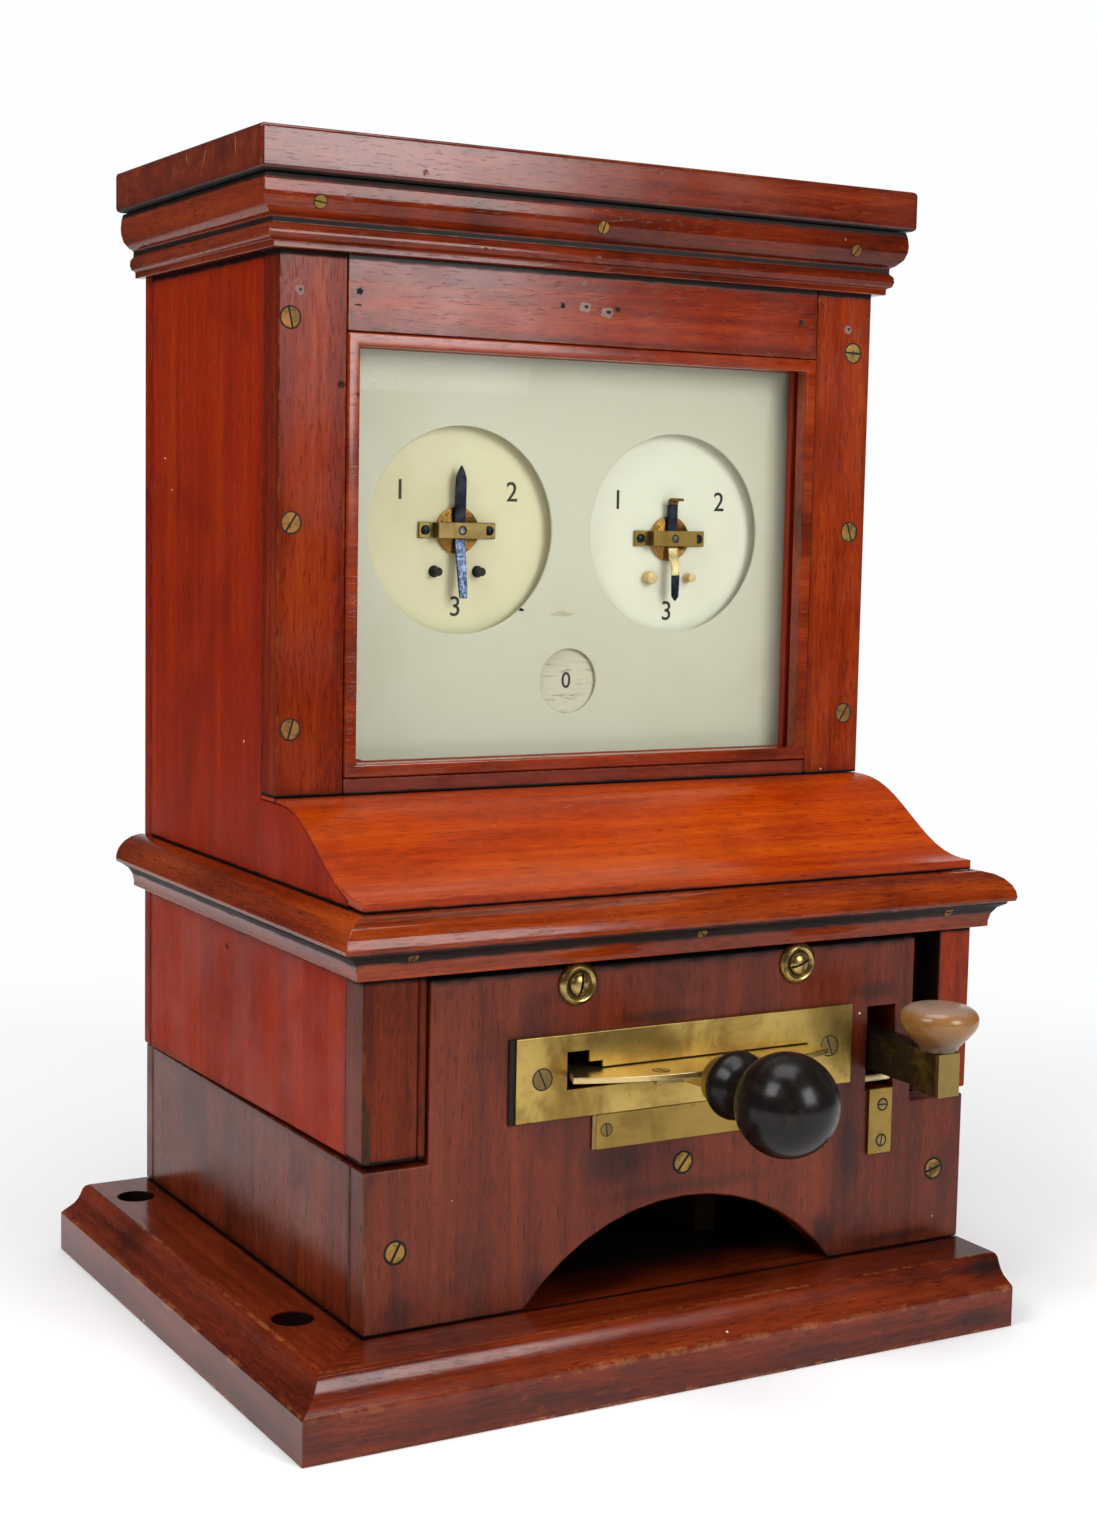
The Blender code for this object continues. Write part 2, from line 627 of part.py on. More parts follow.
def front_plates(finish):
    """Slot plate with its stepped notch, blank plate, quadrant and the key's stop plate and pin."""
    plate = board("slot_plate", (-PLATE_HALF_WIDTH, PLATE_HALF_WIDTH),
                  (PLATE_FRONT, PLATE_FRONT + PLATE_THICKNESS), (PLATE_LOW, PLATE_HIGH), finish["brass"])
    slot = [(-SLOT_HALF_WIDTH, SLOT_LOW), (SLOT_HALF_WIDTH, SLOT_LOW), (SLOT_HALF_WIDTH, SLOT_HIGH)]
    slot += [(-SLOT_HALF_WIDTH + NOTCH_LOW_WIDTH, SLOT_HIGH)]
    slot += [(-SLOT_HALF_WIDTH + NOTCH_LOW_WIDTH, NOTCH_LOW)]
    slot += [(-SLOT_HALF_WIDTH + NOTCH_HIGH_WIDTH, NOTCH_LOW)]
    slot += [(-SLOT_HALF_WIDTH + NOTCH_HIGH_WIDTH, NOTCH_HIGH), (-SLOT_HALF_WIDTH, NOTCH_HIGH)]
    cut(plate, prism("plate_slot_cutter", slot, "Y", PLATE_FRONT - OVERRUN,
                     PLATE_FRONT + PLATE_THICKNESS + OVERRUN, None))
    blank_rear = LOWER_FRONT - SEAT_GAP
    board("blank_plate", (-BLANK_HALF_WIDTH, BLANK_HALF_WIDTH), (blank_rear - BLANK_THICKNESS, blank_rear),
          (BLANK_LOW, PLATE_LOW - SEAT_GAP), finish["brass"])
    half = QUADRANT_HALF_ANGLE
    ahead = -math.pi / 2
    centre = (0, PIVOT_Y)
    outline = arc(ARM_REACH - SEAT_GAP, ahead - half, ahead + half, CURVE_STEPS, centre)
    outline += arc(ARM_REACH - QUADRANT_WIDTH, ahead + half, ahead - half, CURVE_STEPS, centre)
    prism("guide_quadrant", outline, "Z", QUADRANT_LOW, SLOT_HIGH - SEAT_GAP, finish["brass"])
    board("key_stop_plate", (KEY_LEFT, KEY_LEFT + KEY_PLATE_WIDTH),
          (blank_rear - KEY_PLATE_THICKNESS, blank_rear), (KEY_PLATE_LOW, KEY_PLATE_HIGH),
          finish["brass"])
    rod("key_stop_pin", KEY_STOP_RADIUS,
        (KEY_OPENING_LEFT + SEAT_GAP, LOWER_FRONT + 2 * KEY_STOP_RADIUS, KEY_STOP_HEIGHT), "X",
        KEY_OPENING_RIGHT - KEY_OPENING_LEFT - 2 * SEAT_GAP, finish["ivory"])


def commutator(finish, pivot):
    """The bed with its pivot post and contacts, and the swinging arm with collar and handle."""
    floor = BASE_THICKNESS + SEAT_GAP
    outline = [(-BED_HALF_WIDTH, floor), (-BED_HALF_WIDTH + BED_THICKNESS, floor)]
    outline += [(-BED_HALF_WIDTH + BED_THICKNESS, BED_TOP - BED_THICKNESS)]
    outline += [(BED_HALF_WIDTH - BED_THICKNESS, BED_TOP - BED_THICKNESS)]
    outline += [(BED_HALF_WIDTH - BED_THICKNESS, floor), (BED_HALF_WIDTH, floor)]
    outline += [(BED_HALF_WIDTH, BED_TOP), (-BED_HALF_WIDTH, BED_TOP)]
    prism("commutator_bed", outline, "Y", BED_FRONT, BED_REAR, finish["inner_wood"])
    foot = BED_TOP + SEAT_GAP
    nut_low = HUB_LOW + HUB_HEIGHT + SEAT_GAP
    post = [(POST_FLANGE_RADIUS, foot), (POST_FLANGE_RADIUS, foot + POST_FLANGE_THICKNESS)]
    post += [(PIVOT_RADIUS, foot + POST_FLANGE_THICKNESS), (PIVOT_RADIUS, nut_low)]
    post += [(PIVOT_NUT_RADIUS, nut_low), (PIVOT_NUT_RADIUS, nut_low + PIVOT_NUT_THICKNESS)]
    turned("pivot_post", post, (0, PIVOT_Y, 0), "Z", finish["brass"], steps=SMALL_ROUND_STEPS)
    turns = (("contact_left", -HANDLE_SWING), ("contact_centre", 0), ("contact_right", HANDLE_SWING))
    for name, turn in turns:
        x = CONTACT_RADIUS * math.sin(math.radians(turn))
        y = PIVOT_Y - CONTACT_RADIUS * math.cos(math.radians(turn))
        board(name, (x - CONTACT_WIDTH / 2, x + CONTACT_WIDTH / 2),
              (y - CONTACT_LENGTH / 2, y + CONTACT_LENGTH / 2), (foot, foot + CONTACT_HEIGHT),
              finish["brass"])
    half = math.radians(SECTOR_HALF_ANGLE)
    ahead = -math.pi / 2
    centre = (0, PIVOT_Y)
    tip = PIVOT_Y - ARM_REACH
    left_arc = arc(SECTOR_OUTER, ahead - half, ahead, CURVE_STEPS // 2, centre)
    right_arc = arc(SECTOR_OUTER, ahead, ahead + half, CURVE_STEPS // 2, centre)
    outline = [(-ARM_HALF_WIDTH, PIVOT_Y)]
    outline.append(polar(SECTOR_OUTER - SECTOR_WIDTH, ahead - half, centre))
    outline += [point for point in left_arc if point[0] < -ARM_HALF_WIDTH]
    outline += [(-ARM_HALF_WIDTH, tip), (ARM_HALF_WIDTH, tip)]
    outline += [point for point in right_arc if point[0] > ARM_HALF_WIDTH]
    outline += [polar(SECTOR_OUTER - SECTOR_WIDTH, ahead + half, centre), (ARM_HALF_WIDTH, PIVOT_Y)]
    arm = prism("handle_arm", outline, "Z", ARM_LOW, ARM_LOW + ARM_THICKNESS, finish["brass"], pivot)
    fuse(arm, rod("hub_blank", HUB_RADIUS, (0, PIVOT_Y, HUB_LOW), "Z", HUB_HEIGHT, None))
    cut(arm, rod("hub_bore", PIVOT_RADIUS + PIVOT_CLEARANCE, (0, PIVOT_Y, HUB_LOW - OVERRUN), "Z",
                 HUB_HEIGHT + 2 * OVERRUN, None))
    collar_rear = tip - SEAT_GAP
    turned("handle_collar", [(COLLAR_RADIUS, 0), (COLLAR_RADIUS, -COLLAR_LENGTH)],
           (0, collar_rear, HANDLE_AXIS_HEIGHT), "Y", finish["brass"], pivot)
    turned("handle_knob", handle_profile(), (0, HANDLE_START, HANDLE_AXIS_HEIGHT), "Y", finish["ebony"],
           pivot)


def handle_profile():
    """The turned handle from the flare at the collar, past its waist, to the end of the ball."""
    profile = [(share * HANDLE_FLARE_RADIUS, -along * HANDLE_LENGTH) for along, share in HANDLE_NECK_SHARES]
    ball_centre = HANDLE_LENGTH - HANDLE_BALL_RADIUS
    start = math.pi - math.asin(HANDLE_WAIST_RADIUS / HANDLE_BALL_RADIUS)
    ball_start = ball_centre + HANDLE_BALL_RADIUS * math.cos(start)
    last = HANDLE_NECK_SHARES[-1][0] * HANDLE_LENGTH
    profile.append((HANDLE_WAIST_RADIUS, -(last + ball_start) / 2))
    for along, radius in arc(HANDLE_BALL_RADIUS, start, 0, ARC_STEPS)[:-1]:
        profile.append((radius, -(ball_centre + along)))
    profile.append((0, -HANDLE_LENGTH))
    return profile


def tapper_key(finish, pivot):
    """The key lever on its bracket, with its knob, spring and back stop."""
    floor = BASE_THICKNESS + SEAT_GAP
    outline = [(KEY_REAR, KEY_LOW), (KEY_REAR, KEY_HIGH), (KEY_BLOCK_FRONT, KEY_HIGH)]
    outline += [(KEY_BLOCK_FRONT, KEY_BLOCK_LOW), (KEY_BLOCK_REAR, KEY_BLOCK_LOW)]
    outline += [(KEY_BLOCK_REAR, KEY_LOW)]
    lever = prism("key_lever", outline, "X", KEY_LEFT, KEY_RIGHT, finish["brass"], pivot)
    cut(lever, rod("key_bore", KEY_PIN_RADIUS + SEAT_GAP, (KEY_LEFT - OVERRUN, KEY_PIVOT_Y, KEY_PIVOT_Z),
                   "X", KEY_WIDTH + 2 * OVERRUN, None))
    knob = [(share * KEY_KNOB_RADIUS, up * KEY_KNOB_HEIGHT) for share, up in KNOB_SHARES]
    turned("key_knob", knob, (KEY_X, KEY_BLOCK_FRONT + KEY_KNOB_SETBACK, KEY_HIGH + SEAT_GAP), "Z",
           finish["horn"], pivot)
    rear, front = KEY_PIVOT_Y + KEY_BRACKET_LENGTH / 2, KEY_PIVOT_Y - KEY_BRACKET_LENGTH / 2
    ear_in = KEY_WIDTH / 2 + SEAT_GAP
    ear_out = ear_in + KEY_EAR
    saddle = KEY_LOW - 2 * KEY_STOP_RADIUS
    base_top = floor + KEY_BASE_THICKNESS
    bracket_low = base_top + SEAT_GAP
    outline = [(KEY_X - ear_out, bracket_low), (KEY_X + ear_out, bracket_low), (KEY_X + ear_out, KEY_HIGH)]
    outline += [(KEY_X + ear_in, KEY_HIGH), (KEY_X + ear_in, saddle), (KEY_X - ear_in, saddle)]
    outline += [(KEY_X - ear_in, KEY_HIGH), (KEY_X - ear_out, KEY_HIGH)]
    bracket = prism("key_bracket", outline, "Y", front, rear, finish["brass"])
    fuse(bracket, rod("key_pin", KEY_PIN_RADIUS, (KEY_X - ear_out + SEAT_GAP, KEY_PIVOT_Y, KEY_PIVOT_Z),
                      "X", 2 * (ear_out - SEAT_GAP), None))
    seat_front = KEY_SPRING_Y - KEY_SEAT_LENGTH / 2
    seat_rear = KEY_SPRING_Y + KEY_SEAT_LENGTH / 2
    stop_front = KEY_REAR - KEY_STOP_BLOCK_LENGTH
    outline = [(seat_front, floor), (KEY_REAR, floor), (KEY_REAR, KEY_LOW - SEAT_GAP)]
    outline += [(stop_front, KEY_LOW - SEAT_GAP), (stop_front, base_top), (seat_rear, base_top)]
    outline += [(seat_rear, KEY_SEAT_HEIGHT), (seat_front, KEY_SEAT_HEIGHT)]
    prism("key_base", outline, "X", KEY_LEFT, KEY_RIGHT, finish["inner_wood"])
    key_spring(finish)


def key_spring(finish):
    """A helical spring standing on its seat under the lever."""
    low = KEY_SEAT_HEIGHT + SEAT_GAP + KEY_SPRING_WIRE
    high = KEY_LOW - SEAT_GAP - KEY_SPRING_WIRE
    curve = bpy.data.curves.new("key_spring", "CURVE")
    curve.dimensions = "3D"
    curve.bevel_depth = KEY_SPRING_WIRE
    curve.bevel_resolution = 1
    curve.use_fill_caps = True
    spline = curve.splines.new("POLY")
    count = KEY_SPRING_TURNS * SPRING_POINTS + 1
    spline.points.add(count - 1)
    for i in range(count):
        turn = 2 * math.pi * i / SPRING_POINTS
        rise = (high - low) * i / (count - 1)
        x = KEY_SPRING_RADIUS * math.cos(turn)
        y = KEY_SPRING_RADIUS * math.sin(turn)
        spline.points[i].co = (x, y, rise, 1)
    curve.materials.append(finish["steel"])
    made = bpy.data.objects.new("key_spring", curve)
    made.location = (KEY_X, KEY_SPRING_Y, low)
    bpy.context.scene.collection.objects.link(made)


def movement_frame(finish):
    """Two posts, the movement board and the mask plate with its three round holes."""
    floor = BASE_THICKNESS + SEAT_GAP
    post_front = BOARD_REAR + SEAT_GAP
    for name, side in (("movement_post_left", -1), ("movement_post_right", 1)):
        edges = sorted((side * MOVEMENT_BOARD_HALF_WIDTH, side * (MOVEMENT_BOARD_HALF_WIDTH - POST_WIDTH)))
        board(name, edges, (post_front, post_front + POST_DEPTH), (floor, MOVEMENT_BOARD_HIGH),
              finish["inner_wood"])
    backing = board("movement_board", (-MOVEMENT_BOARD_HALF_WIDTH, MOVEMENT_BOARD_HALF_WIDTH),
                    (BOARD_FRONT, BOARD_REAR), (MOVEMENT_BOARD_LOW, MOVEMENT_BOARD_HIGH),
                    finish["inner_wood"])
    holes = [(-DIAL_SPACING / 2, DIAL_HEIGHT), (DIAL_SPACING / 2, DIAL_HEIGHT - RIGHT_NEEDLE_DROP)]
    holes.append((0, FLAG_PIVOT_HEIGHT))
    for number, (x, z) in enumerate(holes):
        cut(backing, rod("board_bore_%d" % number, ARBOR_RADIUS + 2 * ARBOR_CLEARANCE,
                         (x, BOARD_FRONT - OVERRUN, z), "Y", MOVEMENT_BOARD_THICKNESS + 2 * OVERRUN, None))
    mask_rear = BOARD_FRONT - SEAT_GAP
    mask = board("mask_plate", (-MASK_HALF_WIDTH, MASK_HALF_WIDTH), (MASK_FRONT, mask_rear),
                 (MASK_LOW, MASK_HIGH), finish["mask"])
    inner_half = MASK_HALF_WIDTH - MASK_THICKNESS
    cut(mask, board("mask_hollow", (-inner_half, inner_half),
                    (MASK_FRONT + MASK_THICKNESS, mask_rear + OVERRUN),
                    (MASK_LOW + MASK_THICKNESS, MASK_HIGH - MASK_THICKNESS), None))
    windows = [("left", -DIAL_SPACING / 2, DIAL_HEIGHT, MASK_HOLE_RADIUS)]
    windows += [("right", DIAL_SPACING / 2, DIAL_HEIGHT, MASK_HOLE_RADIUS)]
    windows += [("flag", 0, WINDOW_HEIGHT, WINDOW_RADIUS)]
    for name, x, z, radius in windows:
        cut(mask, rod("mask_hole_" + name, radius, (x, MASK_FRONT - OVERRUN, z), "Y",
                      MASK_THICKNESS + 2 * OVERRUN, None, steps=2 * ROUND_STEPS))


def needle_outline(x, z, short):
    """The blade seen from the front: pointed at the top, or hooked on the short needle."""
    half = NEEDLE_WIDTH / 2
    up = SHORT_NEEDLE_UP if short else NEEDLE_UP
    down = SHORT_NEEDLE_DOWN if short else NEEDLE_DOWN
    points = [(-half, -down + half), (0, -down), (half, -down + half)]
    if short:
        points += [(half, up - half), (half + SHORT_NEEDLE_HOOK, up - half), (half + SHORT_NEEDLE_HOOK, up)]
        points += [(-half / 2, up), (-half, up - half / 2)]
    else:
        points += [(half, up - NEEDLE_TIP), (0, up), (-half, up - NEEDLE_TIP)]
    return [(x + u, z + v) for u, v in points]


def needle_movement(finish, name, x, z, pivot, short):
    """One dial with its disc, bridge, stop pins, needle, arbor, coil and rear cock."""
    dial = turned("dial_plate_" + name, [(ARBOR_RADIUS + 2 * ARBOR_CLEARANCE, 0), (DIAL_RADIUS, 0),
                                         (DIAL_RADIUS, DIAL_THICKNESS),
                                         (ARBOR_RADIUS + 2 * ARBOR_CLEARANCE, DIAL_THICKNESS)],
                  (x, DIAL_FRONT, z), "Y", finish["dial"], steps=2 * ROUND_STEPS, closed=True)
    for side, sign in (("a", -1), ("b", 1)):
        fuse(dial, rod("stop_pin_%s_%s" % (name, side), STOP_PIN_RADIUS,
                       (x + sign * STOP_PIN_OFFSET, DIAL_FRONT - STOP_PIN_LENGTH, z - STOP_PIN_DROP), "Y",
                       STOP_PIN_LENGTH + DIAL_THICKNESS / 2, None))
    disc_front = DIAL_FRONT - SEAT_GAP - DISC_THICKNESS
    turned("bearing_disc_" + name, [(ARBOR_RADIUS + ARBOR_CLEARANCE, 0), (DISC_RADIUS, 0),
                                    (DISC_RADIUS, DISC_THICKNESS),
                                    (ARBOR_RADIUS + ARBOR_CLEARANCE, DISC_THICKNESS)],
           (x, disc_front, z), "Y", finish["brass"], closed=True)
    foot = DIAL_FRONT - SEAT_GAP
    crown = foot - BRIDGE_STRAP - BRIDGE_RISE
    inner, end = BRIDGE_INNER / 2, BRIDGE_LENGTH / 2
    outline = [(-end, foot), (-end, foot - BRIDGE_STRAP), (-inner - BRIDGE_STRAP, foot - BRIDGE_STRAP)]
    outline += [(-inner - BRIDGE_STRAP, crown), (inner + BRIDGE_STRAP, crown)]
    outline += [(inner + BRIDGE_STRAP, foot - BRIDGE_STRAP), (end, foot - BRIDGE_STRAP), (end, foot)]
    outline += [(inner, foot), (inner, crown + BRIDGE_STRAP)]
    outline += [(-inner, crown + BRIDGE_STRAP), (-inner, foot)]
    outline = [(x + u, v) for u, v in outline]
    bridge = prism("bridge_" + name, outline, "Z", z - BRIDGE_HEIGHT / 2, z + BRIDGE_HEIGHT / 2,
                   finish["brass"])
    cut(bridge, rod("bridge_bore_" + name, ARBOR_RADIUS + ARBOR_CLEARANCE, (x, crown - OVERRUN, z), "Y",
                    2 * OVERRUN, None, steps=SMALL_ROUND_STEPS))
    needle_rear = disc_front - SEAT_GAP - NEEDLE_THICKNESS / 2
    needle = prism("needle_" + name, needle_outline(x, z, short), "Y", needle_rear - NEEDLE_THICKNESS,
                   needle_rear, finish["steel"], pivot)
    cut(needle, rod("needle_bore_" + name, ARBOR_RADIUS + SEAT_GAP, (x, needle_rear - OVERRUN, z), "Y",
                    2 * OVERRUN, None))
    coil_front = BOARD_REAR + SEAT_GAP
    cock_front = COIL_DEPTH - COIL_CHEEK_THICKNESS / 2
    arbor_front = crown + SEAT_GAP
    arbor = rod("arbor_" + name, ARBOR_RADIUS, (x, arbor_front, z), "Y",
                coil_front + cock_front - SEAT_GAP - arbor_front, finish["steel"], pivot)
    magnet_front = coil_front + (COIL_DEPTH - MAGNET_THICKNESS) / 2
    fuse(arbor, board("magnet_blank_" + name, (x - MAGNET_WIDTH / 2, x + MAGNET_WIDTH / 2),
                      (magnet_front, magnet_front + MAGNET_THICKNESS),
                      (z - MAGNET_LENGTH / 2, z + MAGNET_LENGTH / 2), None))
    cheek = COIL_CHEEK_THICKNESS
    profile = [(COIL_BORE_RADIUS, 0), (COIL_CHEEK_RADIUS, 0), (COIL_CHEEK_RADIUS, cheek)]
    profile += [(COIL_RADIUS, cheek), (COIL_RADIUS, COIL_DEPTH - cheek)]
    profile += [(COIL_CHEEK_RADIUS, COIL_DEPTH - cheek), (COIL_CHEEK_RADIUS, COIL_DEPTH)]
    profile += [(COIL_BORE_RADIUS, COIL_DEPTH)]
    coil = turned("coil_" + name, profile, (x, coil_front, z), "Y", finish["silk"], closed=True)
    cock_half = (COIL_BORE_RADIUS + COIL_RADIUS) / 2
    fuse(coil, board("cock_blank_" + name, (x - cock_half, x + cock_half),
                     (coil_front + cock_front, coil_front + cock_front + COCK_THICKNESS),
                     (z - COCK_WIDTH / 2, z + COCK_WIDTH / 2), None))


def lock_indicator(finish, pivot):
    """The flag behind the small window, its armature behind the board and the electromagnet."""
    pivot_z = FLAG_PIVOT_HEIGHT
    flag_front = MASK_FRONT + MASK_THICKNESS + 2 * SEAT_GAP
    half = FLAG_ARM_WIDTH / 2
    reach = math.asin(half / FLAG_RADIUS)
    outline = arc(FLAG_RADIUS, math.pi / 2 + reach, 2.5 * math.pi - reach, ROUND_STEPS, (0, WINDOW_HEIGHT))
    outline += [(half, pivot_z + half), (-half, pivot_z + half)]
    flag = prism("lock_flag", outline, "Y", flag_front, flag_front + FLAG_THICKNESS, finish["dial"], pivot)
    cut(flag, rod("flag_bore", ARBOR_RADIUS + SEAT_GAP, (0, flag_front - OVERRUN, pivot_z), "Y",
                  2 * OVERRUN, None))
    bar_front = BOARD_REAR + SEAT_GAP
    armature = board("lock_armature", (-ARMATURE_WIDTH / 2, ARMATURE_WIDTH / 2),
                     (bar_front, bar_front + ARMATURE_THICKNESS),
                     (pivot_z - ARMATURE_LENGTH, pivot_z + ARMATURE_WIDTH / 2), finish["steel"], pivot)
    fuse(armature, rod("lock_arbor", ARBOR_RADIUS, (0, flag_front, pivot_z), "Y",
                       bar_front + ARMATURE_THICKNESS / 2 - flag_front, None))
    centre_y = bar_front + LOCK_COIL_RADIUS
    turned("lock_coil", [(LOCK_CORE_RADIUS + SEAT_GAP, 0), (LOCK_COIL_RADIUS, 0),
                         (LOCK_COIL_RADIUS, LOCK_COIL_LENGTH),
                         (LOCK_CORE_RADIUS + SEAT_GAP, LOCK_COIL_LENGTH)],
           (LOCK_COIL_X, centre_y, LOCK_COIL_Z), "X", finish["silk"], steps=COIL_STEPS, closed=True)
    yoke_x = LOCK_COIL_X + LOCK_COIL_LENGTH + SEAT_GAP
    yoke = board("lock_yoke", (yoke_x, yoke_x + LOCK_YOKE_THICKNESS),
                 (bar_front, bar_front + 2 * LOCK_COIL_RADIUS),
                 (LOCK_COIL_Z - LOCK_COIL_RADIUS, LOCK_COIL_Z + LOCK_COIL_RADIUS), finish["steel"])
    core_length = LOCK_COIL_LENGTH + LOCK_CORE_REACH + SEAT_GAP + LOCK_YOKE_THICKNESS / 2
    fuse(yoke, rod("lock_core", LOCK_CORE_RADIUS, (LOCK_COIL_X - LOCK_CORE_REACH, centre_y, LOCK_COIL_Z),
                   "X", core_length, None))


def hood_sides(finish, lift):
    """Side boards with an S-shaped front edge and a foot that rises forwards, and the back board."""
    low = SEAM_HEIGHT + SEAT_GAP
    rear = REAR - BACK_THICKNESS - SEAT_GAP
    lower_front = LOWER_FRONT + FRAME_THICKNESS + SEAT_GAP
    upper_front = FRAME_REAR + SEAT_GAP
    curve = [(y, z) for y, z in ogee_curve(OGEE_LIP + SEAT_GAP) if y > LOWER_FRONT + FRAME_THICKNESS]
    top = LID_HEIGHT - SEAT_GAP
    shoulder = OGEE_HIGH_HEIGHT - OGEE_LIP - SEAT_GAP
    foot = OGEE_LOW_HEIGHT - OGEE_LIP - SEAT_GAP
    for name, side in (("hood_side_left", -1), ("hood_side_right", 1)):
        outline = [(rear, low), (rear, top), (upper_front, top), (upper_front, shoulder)]
        outline += curve
        outline += [(lower_front, foot), (lower_front, low + SIDE_FOOT_SLANT)]
        edges = sorted((side * HALF_WIDTH, side * (HALF_WIDTH - BOARD)))
        prism(name, outline, "X", edges[0], edges[1], finish["side_wood"], lift)
    board("hood_back", (-HALF_WIDTH, HALF_WIDTH), (REAR - BACK_THICKNESS, REAR), (low, top),
          finish["side_wood"], lift, rounded=EDGE_ROUND)


def hood_top(finish, lift):
    half = HALF_WIDTH + LID_OVERHANG
    lid = board("hood_lid", (-half, half), (UPPER_FRONT - LID_OVERHANG, REAR), (LID_HEIGHT, LID_TOP),
                finish["front_wood"], lift)
    ease_edges(lid, LID_ROUND)
    cornice = moulding("cornice", CORNICE_SHARES, CORNICE_OVERHANG, CORNICE_HEIGHT, CORNICE_RISE,
                       HALF_WIDTH + SEAT_GAP, UPPER_FRONT - SEAT_GAP, finish["front_wood"], 0)
    attach(cornice, lift)


def attach(made, parent):
    made.parent = parent
    made.matrix_parent_inverse = Matrix.Translation(-parent.location)


def hood_front(finish, lift):
    """Upper stiles and rails, bead, glass and its retainer."""
    low = OGEE_HIGH_HEIGHT + SEAT_GAP
    top = LID_HEIGHT - SEAT_GAP
    depth = (UPPER_FRONT, FRAME_REAR)
    for name, side in (("stile_left", -1), ("stile_right", 1)):
        edges = sorted((side * HALF_WIDTH, side * OPENING_HALF))
        board(name, edges, depth, (low, top), finish["front_wood"], lift)
    half = OPENING_HALF - SEAT_GAP
    board("head_rail", (-half, half), depth, (HEAD_RAIL_LOW, top), finish["front_wood"], lift)
    board("sill_rail", (-half, half), depth, (low, OPENING_LOW), finish["front_wood"], lift)
    bead_low, bead_high = OPENING_LOW + SEAT_GAP, HEAD_RAIL_LOW - SEAT_GAP
    bead_rear = UPPER_FRONT - BEAD_PROUD + BEAD_DEPTH
    bead = ring_frame("window_bead", half, bead_low, bead_high, BEAD_WIDTH,
                      (UPPER_FRONT - BEAD_PROUD, bead_rear), finish["front_wood"])
    ease_edges(bead, BEAD_PROUD)
    attach(bead, lift)
    glass_front = bead_rear + SEAT_GAP
    glass_rear = glass_front + GLASS_THICKNESS
    board("window_glass", (-half, half), (glass_front, glass_rear), (bead_low, bead_high),
          finish["glass"], lift)
    retainer_front = glass_rear + SEAT_GAP
    attach(ring_frame("glass_retainer", half, bead_low, bead_high, BEAD_WIDTH,
                      (retainer_front, retainer_front + RETAINER_DEPTH), finish["side_wood"]), lift)


def hood_slope(finish, lift):
    """The ogee board over the side boards' S-curve, the middle moulding and what backs them."""
    curve = ogee_curve(0)
    lip = LOWER_FRONT + OGEE_LIP
    under = [(y, z - OGEE_THICKNESS) for y, z in curve]
    foot = MIDDLE_MOULDING_HEIGHT + MIDDLE_MOULDING_RISE + SEAT_GAP
    outline = [(FRAME_REAR, OGEE_HIGH_HEIGHT)] + curve + [(lip, foot)]
    outline += [(y, max(z, foot)) for y, z in reversed(under) if z > foot]
    outline += [(FRAME_REAR, OGEE_HIGH_HEIGHT - OGEE_THICKNESS)]
    slope = prism("ogee_board", outline, "X", -HALF_WIDTH, HALF_WIDTH, finish["side_wood"], lift)
    cheek_front = LOWER_FRONT + FRAME_THICKNESS
    cheek = [(FRAME_REAR + OVERRUN, OGEE_HIGH_HEIGHT - OGEE_LIP)]
    cheek += [(y, z) for y, z in ogee_curve(OGEE_LIP) if y > cheek_front]
    cheek += [(cheek_front, OGEE_LOW_HEIGHT - OGEE_LIP), (cheek_front, SEAM_HEIGHT)]
    cheek += [(FRAME_REAR + OVERRUN, SEAM_HEIGHT)]
    for name, side in (("left", -1), ("right", 1)):
        edges = sorted((side * (HALF_WIDTH + OVERRUN), side * (HALF_WIDTH - BOARD - SEAT_GAP)))
        cut(slope, prism("cheek_cutter_" + name, cheek, "X", edges[0], edges[1], None))
    attach(moulding("middle_moulding", MIDDLE_SHARES, MIDDLE_OVERHANG, MIDDLE_MOULDING_HEIGHT,
                    MIDDLE_MOULDING_RISE, HALF_WIDTH + SEAT_GAP, LOWER_FRONT - SEAT_GAP,
                    finish["side_wood"], 0), lift)
    stile_low = SEAM_HEIGHT + LOWER_STILE_CLEARANCE
    stile_high = foot - SEAT_GAP
    depth = (LOWER_FRONT, LOWER_FRONT + FRAME_THICKNESS)
    left_in = -HALF_WIDTH + LOWER_STILE_WIDTH
    right_in = HALF_WIDTH - LOWER_RIGHT_STILE_WIDTH
    height = (stile_low, stile_high)
    board("lower_stile_left", (-HALF_WIDTH, left_in), depth, height, finish["panel_wood"], lift,
          rounded=EDGE_ROUND)
    board("lower_stile_right", (right_in, HALF_WIDTH), depth, height, finish["panel_wood"], lift,
          rounded=EDGE_ROUND)
    board("lower_rail", (left_in + SEAT_GAP, right_in - SEAT_GAP),
          (LOWER_FRONT, LOWER_FRONT + LOWER_RAIL_THICKNESS), (MIDDLE_MOULDING_HEIGHT, stile_high),
          finish["inner_wood"], lift)


